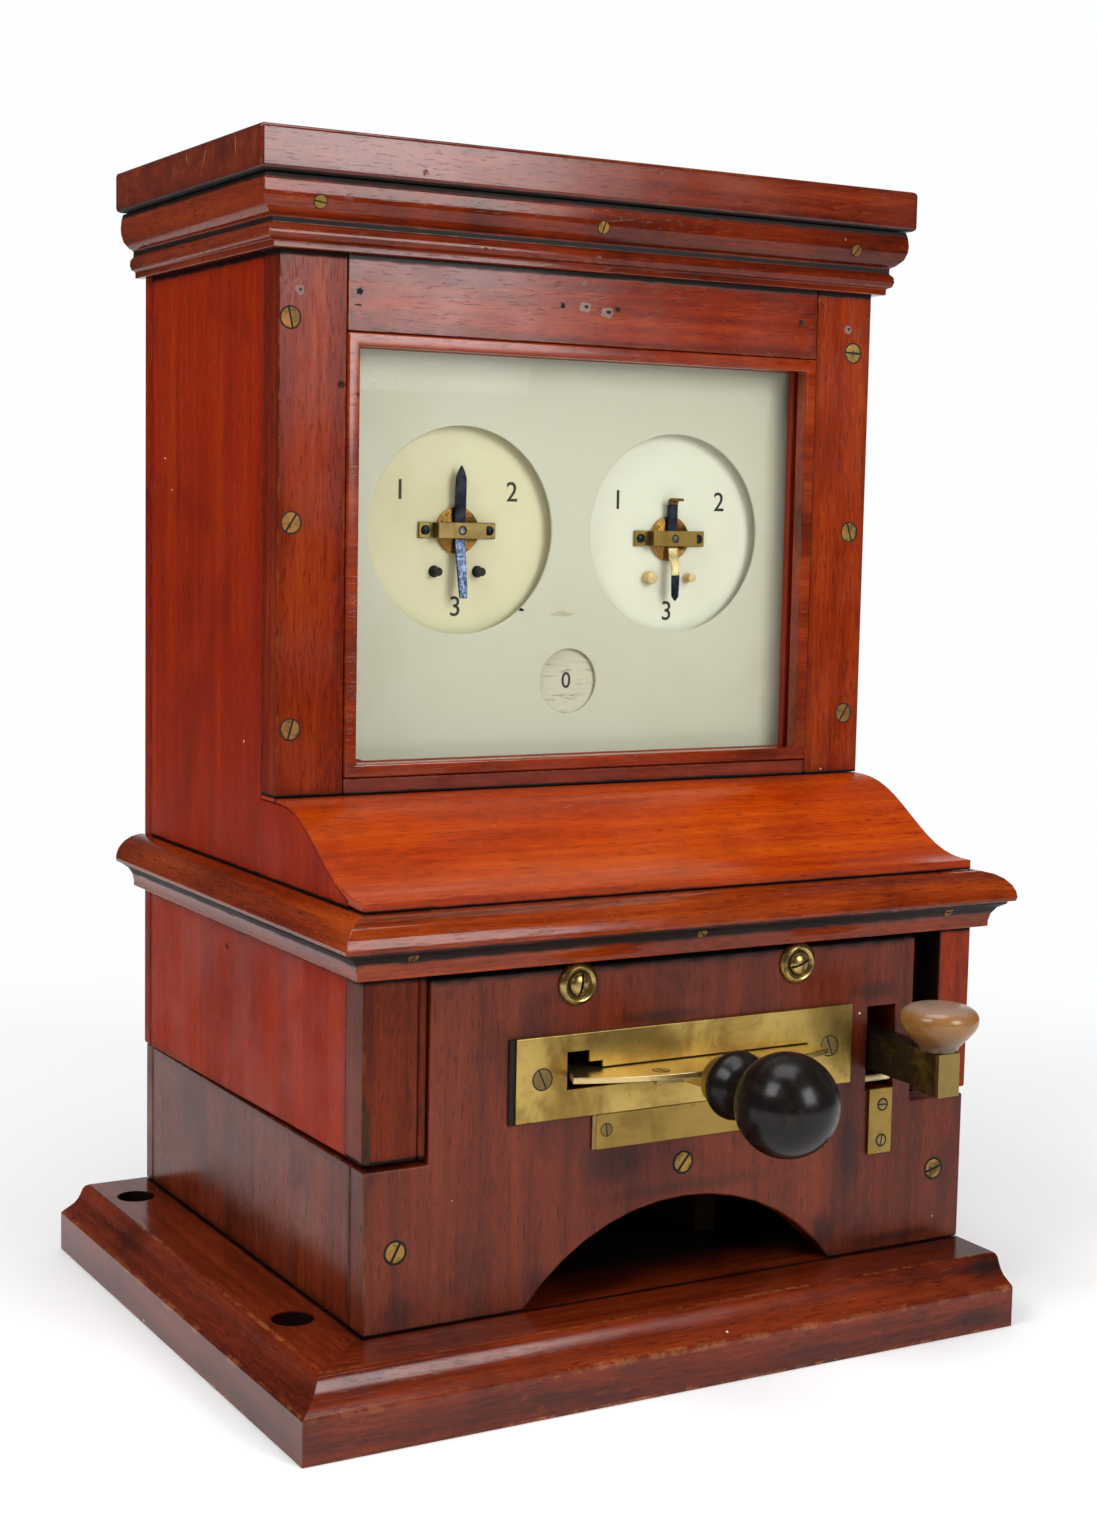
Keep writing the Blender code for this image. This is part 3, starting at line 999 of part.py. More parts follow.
def build():
    clear_scene()
    finish = materials()
    base_case(finish)
    front_panel(finish)
    front_plates(finish)
    commutator(finish, joint_empty("handle_pivot", (0, PIVOT_Y, ARM_LOW)))
    tapper_key(finish, joint_empty("key_pivot", (KEY_X, KEY_PIVOT_Y, KEY_PIVOT_Z)))
    movement_frame(finish)
    spots = (("left", -DIAL_SPACING / 2, DIAL_HEIGHT, False),
             ("right", DIAL_SPACING / 2, DIAL_HEIGHT - RIGHT_NEEDLE_DROP, True))
    for name, x, z, short in spots:
        pivot = joint_empty("needle_pivot_" + name, (x, DIAL_FRONT, z))
        needle_movement(finish, name, x, z, pivot, short)
    lock_indicator(finish, joint_empty("flag_pivot", (0, BOARD_FRONT, FLAG_PIVOT_HEIGHT)))
    lift = joint_empty("hood_seat", (0, 0, SEAM_HEIGHT))
    hood_sides(finish, lift)
    hood_top(finish, lift)
    hood_front(finish, lift)
    hood_slope(finish, lift)


build()
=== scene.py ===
import json
import math

import bmesh
import bpy
from mathutils import Matrix, Vector
from mathutils.bvhtree import BVHTree


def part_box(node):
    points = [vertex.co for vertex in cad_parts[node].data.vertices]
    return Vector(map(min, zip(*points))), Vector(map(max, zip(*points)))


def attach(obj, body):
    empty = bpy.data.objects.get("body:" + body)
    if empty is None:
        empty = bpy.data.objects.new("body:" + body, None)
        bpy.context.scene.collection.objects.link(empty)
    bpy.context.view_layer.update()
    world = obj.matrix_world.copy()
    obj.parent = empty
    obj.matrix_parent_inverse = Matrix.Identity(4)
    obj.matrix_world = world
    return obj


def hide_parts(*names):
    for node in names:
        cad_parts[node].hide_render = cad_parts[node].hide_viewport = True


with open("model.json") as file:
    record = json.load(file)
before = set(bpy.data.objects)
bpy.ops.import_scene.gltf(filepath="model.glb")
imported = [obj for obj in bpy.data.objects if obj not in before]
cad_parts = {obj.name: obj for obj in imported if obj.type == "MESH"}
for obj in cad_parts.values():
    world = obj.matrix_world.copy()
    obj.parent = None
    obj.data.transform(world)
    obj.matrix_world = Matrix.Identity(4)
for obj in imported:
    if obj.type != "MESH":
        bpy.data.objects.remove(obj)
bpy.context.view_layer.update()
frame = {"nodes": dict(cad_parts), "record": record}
NODES = frame["nodes"]
BODY_OF = {
    node: body
    for body, members in frame["record"]["behaviour"]["bodies"].items()
    for node in members
}

# Colours, linear, from dark grain to light grain
SIDE_TONES = ((0.170, 0.0088, 0.0002), (0.230, 0.0128, 0.0003), (0.290, 0.0228, 0.0005))
FRONT_TONES = ((0.110, 0.0085, 0.0014), (0.205, 0.0200, 0.0024), (0.290, 0.0420, 0.0060))
STILE_TONES = ((0.088, 0.0060, 0.0010), (0.165, 0.0140, 0.0016), (0.240, 0.0300, 0.0042))
LID_TONES = ((0.060, 0.0055, 0.0014), (0.130, 0.0135, 0.0028), (0.200, 0.0280, 0.0060))
OGEE_TONES = ((0.185, 0.0140, 0.0005), (0.300, 0.0285, 0.0008), (0.405, 0.0570, 0.0016))
MOULD_TONES = ((0.075, 0.0066, 0.0010), (0.160, 0.0180, 0.0020), (0.260, 0.0400, 0.0048))
CORNICE_TONES = ((0.066, 0.0062, 0.0012), (0.138, 0.0142, 0.0022), (0.215, 0.0280, 0.0040))
PANEL_TONES = ((0.052, 0.0070, 0.0020), (0.108, 0.0145, 0.0036), (0.158, 0.0245, 0.0068))
BASE_TONES = ((0.042, 0.0050, 0.0013), (0.105, 0.0120, 0.0027), (0.180, 0.0245, 0.0052))
INNER_TONES = ((0.012, 0.0060, 0.0035), (0.030, 0.0150, 0.0080), (0.050, 0.0260, 0.0130))
BLACK = (0.003, 0.0025, 0.0025)
RUBBED = (0.27, 0.085, 0.026)
STRIPE = (0.330, 0.0330, 0.0006)
FLECK = (0.80, 0.66, 0.54)
WHITE = (0.985, 0.99, 1.0)

# Dark patches on the front panel and the base board: X, Z, half width, half height, strength. Most are dirt;
# the panel patch at X -0.030, Z 0.077 is a painted shadow of the handle.
PANEL_SMUDGES_AND_SHADOW = (
    (0.0755, 0.0690, 0.0080, 0.0260, 0.70), (-0.0300, 0.0770, 0.0170, 0.0100, 0.60),
    (0.0640, 0.0380, 0.0060, 0.0110, 0.65), (-0.0600, 0.0340, 0.0080, 0.0100, 0.50),
    (0.0870, 0.1310, 0.0120, 0.0050, 0.60), (-0.0120, 0.1300, 0.0220, 0.0030, 0.55),
    (-0.1180, 0.0330, 0.0100, 0.0060, 0.45), (0.1000, 0.0310, 0.0240, 0.0030, 0.55),
    (0.0000, 0.0640, 0.0420, 0.0040, 0.45), (0.1250, 0.0500, 0.0040, 0.0180, 0.40),
)
BASE_SMUDGES = (
    (0.1240, 0.0220, 0.0120, 0.0050, 0.75), (0.1140, 0.0060, 0.0160, 0.0045, 0.60),
    (-0.0400, 0.0130, 0.0200, 0.0040, 0.35),
)

# Old marks of the head rail: kind, X, Z, half width, half height
RAIL_MARKS = (
    ("hole", -0.1010, 0.3930, 0.0014, 0.0012), ("hole", -0.0150, 0.3930, 0.0010, 0.0012),
    ("hole", 0.0098, 0.3930, 0.0011, 0.0011), ("hole", 0.0975, 0.3930, 0.0011, 0.0013),
    ("hole", -0.1015, 0.3880, 0.0016, 0.0003), ("fibre", -0.0050, 0.3930, 0.0027, 0.0019),
    ("fibre", 0.0050, 0.3915, 0.0029, 0.0021), ("fibre", -0.0054, 0.4020, 0.0010, 0.0008),
    ("fibre", 0.1215, 0.3915, 0.0018, 0.0017), ("fibre", -0.1250, 0.3920, 0.0016, 0.0019),
)

# Scratches on the lid's left end, from one Y, Z to another
LID_SCRATCHES = (
    ((0.0285, 0.4459), (0.0263, 0.4413)), ((0.0068, 0.4462), (0.0118, 0.4380)),
    ((-0.0208, 0.4465), (-0.0218, 0.4386)),
)

# Lengths in metres
SMALL = 0.00005
SUNK = 0.0002
HEAD_RISE = 0.0004
HEAD_DEPTH = 0.0003
STRIP_WIDTH = 0.0046
STRIP_TIP = 0.00012
EDGE_REACH = 0.0035
TURNED_PITCH = 0.00028
WIRE_PITCH = 0.0007
HOLE_INSET = 0.0242
HOLE_RADIUS = 0.0077
HOLE_PLACES = (0.085, -0.080)
BASE_RUN = 0.0125
BASE_EDGE = 0.0155
FLOOR_RADIUS = 1.35
FLOOR_HEIGHT = -0.0002
FRONT_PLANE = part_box("front_panel")[0].y
STILE_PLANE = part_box("stile_left")[0].y

# Camera, the white side of the studio, and lamps as name, place, target, width, height, power
CAMERA_PLACE = (-0.46348, -0.81399, 0.31164)
CAMERA_AHEAD = (0.49104, 0.86483, -0.10462)
CAMERA_ROLL = math.radians(1.11)
CAMERA_LENS = 54.01
CAMERA_SHIFT = (0.0025, -0.0052)
WHITE_SIDE = (0.489, 0.861, -0.139)
LAMPS = (
    ("key", (0.46, -1.50, 0.84), (0.0, 0.0, 0.20), 0.66, 0.84, 17.0),
    ("top", (-0.05, -0.05, 1.60), (0.0, 0.0, 0.20), 1.0, 0.9, 12.0),
    ("left", (-1.32, -0.42, 1.32), (0.0, 0.0, 0.15), 0.75, 0.85, 17.0),
)


# Node materials


class Graph:
    """A node tree that is put together one step at a time."""

    def __init__(self, name, world=False):
        self.owner = (bpy.data.worlds if world else bpy.data.materials).new(name)
        self.owner.use_nodes = True
        self.tree = self.owner.node_tree
        self.shader = self.tree.nodes["Background" if world else "Principled BSDF"]
        self.place = self.node("TexCoord").outputs["Generated" if world else "Object"]
        self.grain_place = self.place

    def node(self, kind, **settings):
        made = self.tree.nodes.new("ShaderNode" + kind)
        for key, value in settings.items():
            setattr(made, key, value)
        return made

    def feed(self, target, value):
        if isinstance(value, bpy.types.NodeSocket):
            self.tree.links.new(value, target)
        elif target.type == "RGBA":
            target.default_value = (*value, 1.0)
        else:
            target.default_value = value

    def wire(self, made, inputs, output=0):
        """Feeds a node's inputs, given by name or number, and returns one of its outputs."""
        for key, value in inputs.items():
            self.feed(made.inputs[key], value)
        return made.outputs[output]

    def math(self, operation, first, second=0.0, clamp=False):
        return self.wire(self.node("Math", operation=operation, use_clamp=clamp), {0: first, 1: second})

    def plus(self, first, second):
        return self.math("ADD", first, second)

    def minus(self, first, second):
        return self.math("SUBTRACT", first, second)

    def times(self, first, second):
        return self.math("MULTIPLY", first, second)

    def size(self, value):
        return self.math("ABSOLUTE", value)

    def apart(self, first, second):
        """The distance that two steps at right angles make."""
        return self.math("SQRT", self.plus(self.times(first, first), self.times(second, second)))

    def stretch(self, scale=(1, 1, 1), shift=(0, 0, 0)):
        inputs = {"Vector": self.grain_place, "Scale": scale, "Location": shift}
        return self.wire(self.node("Mapping"), inputs)

    def noise(self, vector, scale, detail=3.0, roughness=0.5, distortion=0.0):
        inputs = {"Vector": vector, "Scale": scale, "Detail": detail, "Roughness": roughness,
                  "Distortion": distortion}
        return self.wire(self.node("TexNoise"), inputs)

    def cells(self, shift, scale):
        inputs = {"Vector": self.stretch(shift=shift), "Scale": scale}
        return self.wire(self.node("TexVoronoi", feature="F1"), inputs, "Distance")

    def span(self, value, low, high, start=0.0, end=1.0):
        inputs = {"Value": value, "From Min": low, "From Max": high, "To Min": start, "To Max": end}
        return self.wire(self.node("MapRange", interpolation_type="SMOOTHSTEP"), inputs)

    def ramp(self, value, stops):
        made = self.node("ValToRGB")
        elements = made.color_ramp.elements
        while len(elements) < len(stops):
            elements.new(0.5)
        for element, (place, colour) in zip(elements, stops):
            element.position = place
            element.color = (*colour, 1.0)
        return self.wire(made, {0: value})

    def mix(self, share, first, second, blend="MIX"):
        made = self.node("Mix", data_type="RGBA", blend_type=blend)
        return self.wire(made, {0: share, 6: first, 7: second}, 2)

    def shade(self, share, colour, tint):
        """Multiplies a share of a colour by a tint."""
        return self.mix(share, colour, self.mix(1.0, colour, tint, "MULTIPLY"))

    def axes(self):
        made = self.node("SeparateXYZ")
        self.feed(made.inputs[0], self.place)
        return made.outputs

    def mitred(self, inset_x, inset_y):
        """Turns the grain along Y where a moulding runs back along the side of the case."""
        x, y, z = self.axes()
        swapped = self.wire(self.node("CombineXYZ"), {0: y, 1: x, 2: z})
        beside = self.math("GREATER_THAN", inset_y, inset_x)
        pick = self.node("Mix", data_type="VECTOR")
        self.grain_place = self.wire(pick, {0: beside, 4: self.place, 5: swapped}, 1)

    def edge_distance(self, low, high):
        """How far a point on a box-shaped board is from the nearest arris."""
        near = []
        for axis, lowest, highest in zip(self.axes(), low, high):
            near.append(self.math("MINIMUM", self.minus(axis, lowest), self.minus(highest, axis)))
        a, b, c = near
        inner = self.math("MINIMUM", self.math("MAXIMUM", a, b), c)
        return self.math("MAXIMUM", self.math("MINIMUM", a, b), inner)

    def bump(self, height, distance, strength, onto=None):
        inputs = {"Height": height, "Distance": distance, "Strength": strength}
        if onto is not None:
            inputs["Normal"] = onto
        return self.wire(self.node("Bump"), inputs)

    def finish(self, colour, roughness, normal=None, metallic=0.0, coat=0.0, coat_roughness=0.08,
               specular=0.5):
        inputs = {"Base Color": colour, "Roughness": roughness, "Metallic": metallic, "Coat Weight": coat,
                  "Coat Roughness": coat_roughness, "Specular IOR Level": specular}
        if normal is not None:
            inputs["Normal"] = normal
        self.wire(self.shader, inputs)
        return self.owner


def wood(name, tones, grain, box=None, seed=0.0, gloss=0.30, coat=0.0, edge=0.35, patina=0.45,
         specular=0.30, rub=0.25, specks=1.0, blotch_scale=14.0, shade_bands=(), case_foot_shade=None, mitre=None,
         arrises=(), stripe=None, smudges_and_shadow=(), shaded_holes=()):
    """French polished mahogany: ribbons, streaks, pores, handled patches, grime and rubbed arrises, with
    painted shade in joints, under mouldings, inside the case and in holes.
    """
    graph = Graph(name)
    x, y, z = axes = graph.axes()
    if mitre is not None:
        side, front, both = mitre
        inset_x = graph.minus(side, graph.size(x)) if both else graph.plus(side, x)
        inset_y = graph.minus(y, front)
        graph.mitred(inset_x, inset_y)
    shift = (seed * 0.37, seed * 0.71, seed * 0.53)

    def run(share):
        return graph.stretch([share if letter == grain else 1.0 for letter in "XYZ"], shift)

    even = graph.stretch(shift=shift)
    figure = graph.noise(run(0.22), 26.0, 3.0, 0.55, 0.8)
    ribbons = graph.noise(run(0.030), 75.0, 3.0, 0.6, 0.3)
    streaks = graph.noise(run(0.055), 300.0, 4.0, 0.62)
    fibres = graph.noise(run(0.11), 1000.0, 2.0, 0.6)
    broad = graph.plus(graph.times(figure, 0.30), graph.times(ribbons, 0.30))
    fine = graph.plus(graph.times(streaks, 0.24), graph.times(fibres, 0.16))
    dark, middle, light = tones
    colour = graph.ramp(graph.plus(broad, fine), ((0.39, dark), (0.50, middle), (0.61, light)))
    dashes = graph.span(graph.noise(run(0.20), 760.0, 2.0), 0.60, 0.70, 0.0, 0.42)
    colour = graph.mix(dashes, colour, light)
    pores = graph.span(graph.noise(run(0.13), 1300.0, 2.0), 0.585, 0.68)
    colour = graph.mix(graph.times(pores, 0.50), colour, tuple(0.45 * c for c in dark))
    handled = graph.span(graph.noise(even, blotch_scale, 4.0, 0.6, 0.4), 0.48, 0.74, 0.0, patina)
    colour = graph.shade(handled, colour, (0.40, 0.34, 0.34))
    picked = graph.span(graph.noise(even, 31.0, 1.0), 0.54, 0.60)
    dents = graph.span(graph.cells((seed, 0.3, 0.1), 44.0), 0.030, 0.075, 1.0, 0.0)
    dents = graph.times(dents, picked)
    colour = graph.mix(graph.times(dents, 0.85), colour, BLACK)
    if box is not None:
        distance = graph.edge_distance(*box)
        ragged = graph.times(graph.noise(even, 90.0, 4.0, 0.65), EDGE_REACH * 1.4)
        worn = graph.minus(distance, ragged)
        soiled = graph.span(worn, -EDGE_REACH * 0.5, EDGE_REACH * 0.55, edge, 0.0)
        colour = graph.shade(soiled, colour, (0.26, 0.22, 0.22))
        arris = graph.span(distance, 0.0004, 0.0011, 1.0, 0.0)
        chipped = graph.span(graph.noise(even, 120.0, 4.0, 0.7), 0.52, 0.62)
        colour = graph.mix(graph.times(graph.times(arris, chipped), rub), colour, RUBBED)
    if arrises:
        inset = graph.math("MINIMUM", inset_x, inset_y)
        chipped = graph.span(graph.noise(even, 110.0, 6.0, 0.8), 0.46, 0.58)
        clusters = graph.span(graph.noise(even, 17.0, 3.0, 0.6), 0.40, 0.66, 0.12, 1.0)
        chipped = graph.times(chipped, clusters)
    for depth, height, reach in arrises:
        away = graph.apart(graph.minus(inset, depth), graph.minus(z, height))
        near = graph.span(away, reach * 0.45, reach, 1.0, 0.0)
        colour = graph.mix(graph.times(graph.times(near, chipped), rub), colour, RUBBED)
    if stripe is not None:
        front, reach, foot = stripe
        waver = graph.times(graph.noise(run(0.05), 60.0, 2.0), reach * 0.5)
        band = graph.span(graph.minus(graph.minus(y, front), waver), 0.0, reach, 0.75, 0.0)
        above = graph.span(z, foot, foot + 0.004)
        colour = graph.mix(graph.times(band, above), colour, STRIPE)
    # Dark patches: dirt marks, and on the front panel a painted shadow below the handle.
    for left, height, wide, tall, strength in smudges_and_shadow:
        across = graph.math("DIVIDE", graph.minus(x, left), wide)
        upward = graph.math("DIVIDE", graph.minus(z, height), tall)
        uneven = graph.times(graph.noise(even, 55.0, 4.0, 0.6), 0.9)
        near = graph.span(graph.plus(graph.apart(across, upward), uneven), 0.65, 1.60, strength, 0.0)
        colour = graph.mix(near, colour, BLACK)
    painted_shade_mask = 0.0
    # Shade bands are painted shade: black fading out from a joint or a moulding's edge, where one part shades
    # another.
    for letter, place, reach in shade_bands:
        gap = graph.size(graph.minus(axes["XYZ".index(letter)], place))
        uneven = graph.times(graph.noise(even, 130.0), reach * 0.5)
        band = graph.span(graph.plus(gap, uneven), reach * 0.60, reach * 1.05, 0.97, 0.0)
        colour = graph.mix(band, colour, BLACK)
        painted_shade_mask = graph.math("MAXIMUM", painted_shade_mask, band)
    # Painted shade on the base board's top: a dark line along the foot of the case, and darkness inside the
    # case.
    if case_foot_shade is not None:
        side, front, top = case_foot_shade
        outside = graph.math("MAXIMUM", graph.minus(graph.size(x), side), graph.minus(front, y))
        upper = graph.span(z, top - 0.0004, top - 0.0001)
        uneven = graph.times(graph.noise(even, 130.0), 0.0014)
        line = graph.span(graph.plus(graph.size(outside), uneven), 0.0009, 0.0026, 0.95, 0.0)
        inside = graph.span(graph.times(outside, -1.0), 0.010, 0.034, 0.0, 0.97)
        for share in (line, inside):
            colour = graph.mix(graph.times(share, upper), colour, BLACK)
    # Painted shade in the holes of the base board, darker towards their floors.
    for left, behind, radius, top in shaded_holes:
        away = graph.apart(graph.minus(x, left), graph.minus(y, behind))
        within = graph.span(away, radius + 0.0002, radius + 0.0009, 1.0, 0.0)
        below = graph.span(z, top - 0.0008, top + 0.0002, 0.93, 0.35)
        colour = graph.mix(graph.times(within, below), colour, BLACK)
    chosen = graph.span(graph.noise(even, 47.0, 0.0), 0.56, 0.60)
    flecks = graph.times(graph.span(graph.cells((0.2, seed, 0.4), 58.0), 0.018, 0.034, 1.0, 0.0), chosen)
    colour = graph.mix(graph.times(flecks, 0.8 * specks), colour, FLECK)
    roughness = graph.span(graph.noise(even, 26.0, 4.0, 0.6), 0.30, 0.75, gloss * 0.75, gloss * 1.45)
    roughness = graph.plus(roughness, graph.times(dents, 0.3))
    if shade_bands:
        roughness = graph.math("ADD", roughness, graph.times(painted_shade_mask, 0.55), True)
    normal = graph.bump(graph.noise(run(0.4), 60.0, 2.0), 0.0006, 0.09)
    normal = graph.bump(graph.times(pores, -1.0), 0.00006, 0.40, normal)
    normal = graph.bump(graph.times(dents, -1.0), 0.0005, 0.7, normal)
    return graph.finish(colour, roughness, normal, 0.0, coat, 0.09, specular)


def brass(name, bright, tarnish, seed=0.0, amount=0.5, roughness=0.30, brushed="X", clouding=38.0,
          bright_front=None, turned=None):
    """Lacquered brass with a fine brushed grain, brown tarnish and a few dark spots."""
    graph = Graph(name)
    x, y, z = graph.axes()
    scale = [0.03 if letter == brushed else 1.0 for letter in "XYZ"]
    lines = graph.noise(graph.stretch(scale, (seed, seed, seed)), 1800.0, 3.0, 0.6)
    even = graph.stretch(shift=(seed, 0.4 * seed, 0.7 * seed))
    clouds = graph.noise(even, clouding, 5.0, 0.62, 0.5)
    cover = graph.span(clouds, 0.40, 0.68, 0.0, amount)
    # Bright within a few millimetres of a front face, dark further back: tarnish, with painted light on the
    # lit front and painted shade on the sides.
    if bright_front is not None:
        dull = graph.span(clouds, 0.36, 0.52, 0.35, 1.0)
        cover = graph.times(graph.span(graph.minus(y, bright_front), 0.0008, 0.0030, 0.15, 1.0), dull)
    colour = graph.mix(cover, bright, tarnish)
    spots = graph.span(graph.noise(even, 420.0, 3.0, 0.6), 0.64, 0.74, 0.0, 0.55)
    colour = graph.mix(spots, colour, (0.09, 0.055, 0.02))
    colour = graph.mix(graph.times(lines, 0.12), colour, (0.78, 0.58, 0.24))
    normal = graph.bump(lines, 0.00004, 0.30)
    if turned is not None:
        away = graph.apart(graph.minus(x, turned[0]), graph.minus(z, turned[1]))
        grooves = graph.math("SINE", graph.times(away, 2 * math.pi / TURNED_PITCH))
        normal = graph.bump(grooves, 0.00003, 0.9, normal)
    return graph.finish(colour, graph.plus(graph.times(clouds, 0.22), roughness - 0.08), normal, 1.0)


def painted(name, colour, dirt, seed=0.0, roughness=0.45, amount=0.35, streaky=False):
    """Old enamel or paper: faint clouds, a little yellowing, specks and fine surface marks."""
    graph = Graph(name)
    even = graph.stretch(shift=(seed, seed * 0.3, seed * 0.6))
    clouds = graph.noise(even, 24.0, 5.0, 0.6, 0.3)
    shade = graph.mix(graph.span(clouds, 0.42, 0.78, 0.0, amount), colour, dirt)
    specks = graph.span(graph.noise(even, 900.0, 2.0), 0.70, 0.78, 0.0, 0.35)
    shade = graph.mix(specks, shade, tuple(0.45 * c for c in dirt))
    if streaky:
        marks = graph.noise(graph.stretch((1, 1, 7), (seed, 0.1, 0.2)), 110.0, 5.0, 0.7, 0.6)
        shade = graph.mix(graph.span(marks, 0.52, 0.66, 0.0, 0.62), shade, (0.20, 0.19, 0.16))
    normal = graph.bump(graph.noise(even, 260.0), 0.00008, 0.12)
    rough = graph.span(clouds, 0.3, 0.8, roughness * 0.85, roughness * 1.2)
    return graph.finish(shade, rough, normal, specular=0.4)


def metal(name, colour, dark, seed=0.0, roughness=0.35, scale=300.0):
    """Plain or blued steel with grease marks and darker spots."""
    graph = Graph(name)
    even = graph.stretch(shift=(seed, seed, 0.2))
    clouds = graph.noise(even, scale, 5.0, 0.6, 0.4)
    shade = graph.mix(graph.span(clouds, 0.35, 0.7), colour, dark)
    normal = graph.bump(graph.noise(even, scale * 5), 0.00004, 0.35)
    return graph.finish(shade, graph.span(clouds, 0.3, 0.7, roughness * 0.7, roughness * 1.4), normal, 1.0)


def ebony_material():
    graph = Graph("ebony")
    even = graph.stretch()
    rings = graph.noise(graph.stretch((1, 0.16, 1)), 260.0, 5.0, 0.6, 0.4)
    colour = graph.mix(graph.span(rings, 0.45, 0.75), (0.0050, 0.0040, 0.0038), (0.014, 0.009, 0.0065))
    handled = graph.noise(even, 60.0, 4.0, 0.6)
    colour = graph.mix(graph.span(handled, 0.5, 0.8, 0.0, 0.4), colour, (0.012, 0.010, 0.0095))
    normal = graph.bump(graph.noise(even, 130.0), 0.0003, 0.06)
    normal = graph.bump(rings, 0.00004, 0.25, normal)
    return graph.finish(colour, graph.span(handled, 0.3, 0.75, 0.19, 0.32), normal, 0.0, 0.0, 0.10, 0.22)


def horn_material():
    graph = Graph("horn")
    even = graph.stretch(shift=(0.3, 0.1, 0))
    swirls = graph.noise(graph.stretch((1, 1, 2.2), (0.3, 0.1, 0)), 45.0, 3.0, 0.5, 0.8)
    stops = ((0.28, (0.165, 0.067, 0.015)), (0.46, (0.20, 0.086, 0.020)), (0.62, (0.225, 0.102, 0.027)),
             (0.80, (0.24, 0.120, 0.040)))
    colour = graph.ramp(swirls, stops)
    low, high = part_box("key_knob")
    height = graph.axes()[2]
    crown = graph.span(height, high.z - 0.0034, high.z - 0.0006, 0.0, 0.85)
    colour = graph.mix(crown, colour, (0.230, 0.160, 0.118))
    foot = graph.span(height, low.z + 0.0005, low.z + 0.0085, 0.80, 0.0)
    colour = graph.mix(foot, colour, (0.056, 0.036, 0.024))
    roughness = graph.span(graph.noise(even, 90.0, 4.0, 0.6), 0.3, 0.75, 0.20, 0.34)
    normal = graph.bump(graph.noise(even, 420.0, 4.0), 0.00005, 0.3)
    return graph.finish(colour, roughness, normal, 0.0, 0.1, 0.12, 0.40)


def winding_material():
    graph = Graph("silk_winding")
    turns = graph.math("SINE", graph.times(graph.axes()[1], 2 * math.pi / WIRE_PITCH))
    weave = graph.noise(graph.stretch(), 900.0, 3.0, 0.6)
    colour = graph.mix(weave, (0.020, 0.070, 0.030), (0.070, 0.190, 0.085))
    colour = graph.mix(graph.span(turns, -1.0, -0.2, 0.7, 0.0), colour, (0.006, 0.014, 0.008))
    return graph.finish(colour, 0.75, graph.bump(turns, 0.0002, 0.8), 0.0, 0.0, 0.1, 0.25)


def glass_material():
    """A clear pane: mostly see-through, with a faint reflection."""
    graph = Graph("window_pane")
    graph.tree.nodes.remove(graph.shader)
    clear = graph.wire(graph.node("BsdfTransparent"), {"Color": (0.965, 0.975, 0.96)})
    shine = graph.wire(graph.node("BsdfGlossy"), {"Roughness": 0.015})
    faint = graph.times(graph.wire(graph.node("Fresnel"), {"IOR": 1.35}), 0.12)
    pane = graph.wire(graph.node("MixShader"), {0: faint, 1: clear, 2: shine})
    graph.feed(graph.tree.nodes["Material Output"].inputs[0], pane)
    return graph.owner


# Pieces


def link(made):
    bpy.context.scene.collection.objects.link(made)
    return made


def cleaned(node):
    """A node's mesh as one closed shell, with its seams of normals joined again."""
    bm = bmesh.new()
    bm.from_mesh(NODES[node].data)
    bmesh.ops.remove_doubles(bm, verts=bm.verts, dist=0.000002)
    bmesh.ops.dissolve_limit(bm, angle_limit=math.radians(0.5), verts=bm.verts, edges=bm.edges)
    return bm


def object_from(name, bm, material, body, angle=35):
    mesh = bpy.data.meshes.new(name)
    bmesh.ops.recalc_face_normals(bm, faces=bm.faces)
    bm.to_mesh(mesh)
    bm.free()
    mesh.shade_smooth()
    mesh.set_sharp_from_angle(angle=math.radians(angle))
    mesh.materials.append(material)
    made = link(bpy.data.objects.new(name, mesh))
    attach(made, body)
    return made


def join(bm, low, high):
    """Faces between two rings, where a ring of one point is a pole."""
    steps = max(len(low), len(high))
    for i in range(steps):
        j = (i + 1) % steps
        if len(low) == 1:
            bm.faces.new((low[0], high[j], high[i]))
        elif len(high) == 1:
            bm.faces.new((low[i], low[j], high[0]))
        else:
            bm.faces.new((low[i], low[j], high[j], high[i]))


def loft(name, rings, material, body, angle=35):
    """A closed piece through rings of points."""
    bm = bmesh.new()
    rings = [[bm.verts.new(point) for point in ring] for ring in rings]
    bm.faces.new(rings[0])
    bm.faces.new(rings[-1])
    for low, high in zip(rings, rings[1:]):
        join(bm, low, high)
    return object_from(name, bm, material, body, angle)


def ease(made, width, segments=2, limit=30):
    """Rounds the arrises that turn by more than a limit in degrees."""
    step = made.modifiers.new("eased", "BEVEL")
    step.width = width
    step.segments = segments
    step.limit_method = "ANGLE"
    step.angle_limit = math.radians(limit)
    return made


def worked(made):
    """An object's mesh with its modifiers worked in."""
    bpy.context.view_layer.update()
    graph = bpy.context.evaluated_depsgraph_get()
    return bpy.data.meshes.new_from_object(made.evaluated_get(graph))


def dress(node, material, bevel=0.0, segments=2, angle=35):
    """A finer copy of a CAD node, with eased edges and smooth curves, that stands for it."""
    made = object_from(node + "_looks", cleaned(node), material, BODY_OF[node], angle)
    if bevel:
        ease(made, bevel, segments, 50)
        flat = made.modifiers.new("flat_faces", "WEIGHTED_NORMAL")
        flat.mode = "FACE_AREA"
        flat.weight = 80
        flat.keep_sharp = True
    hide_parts(node)


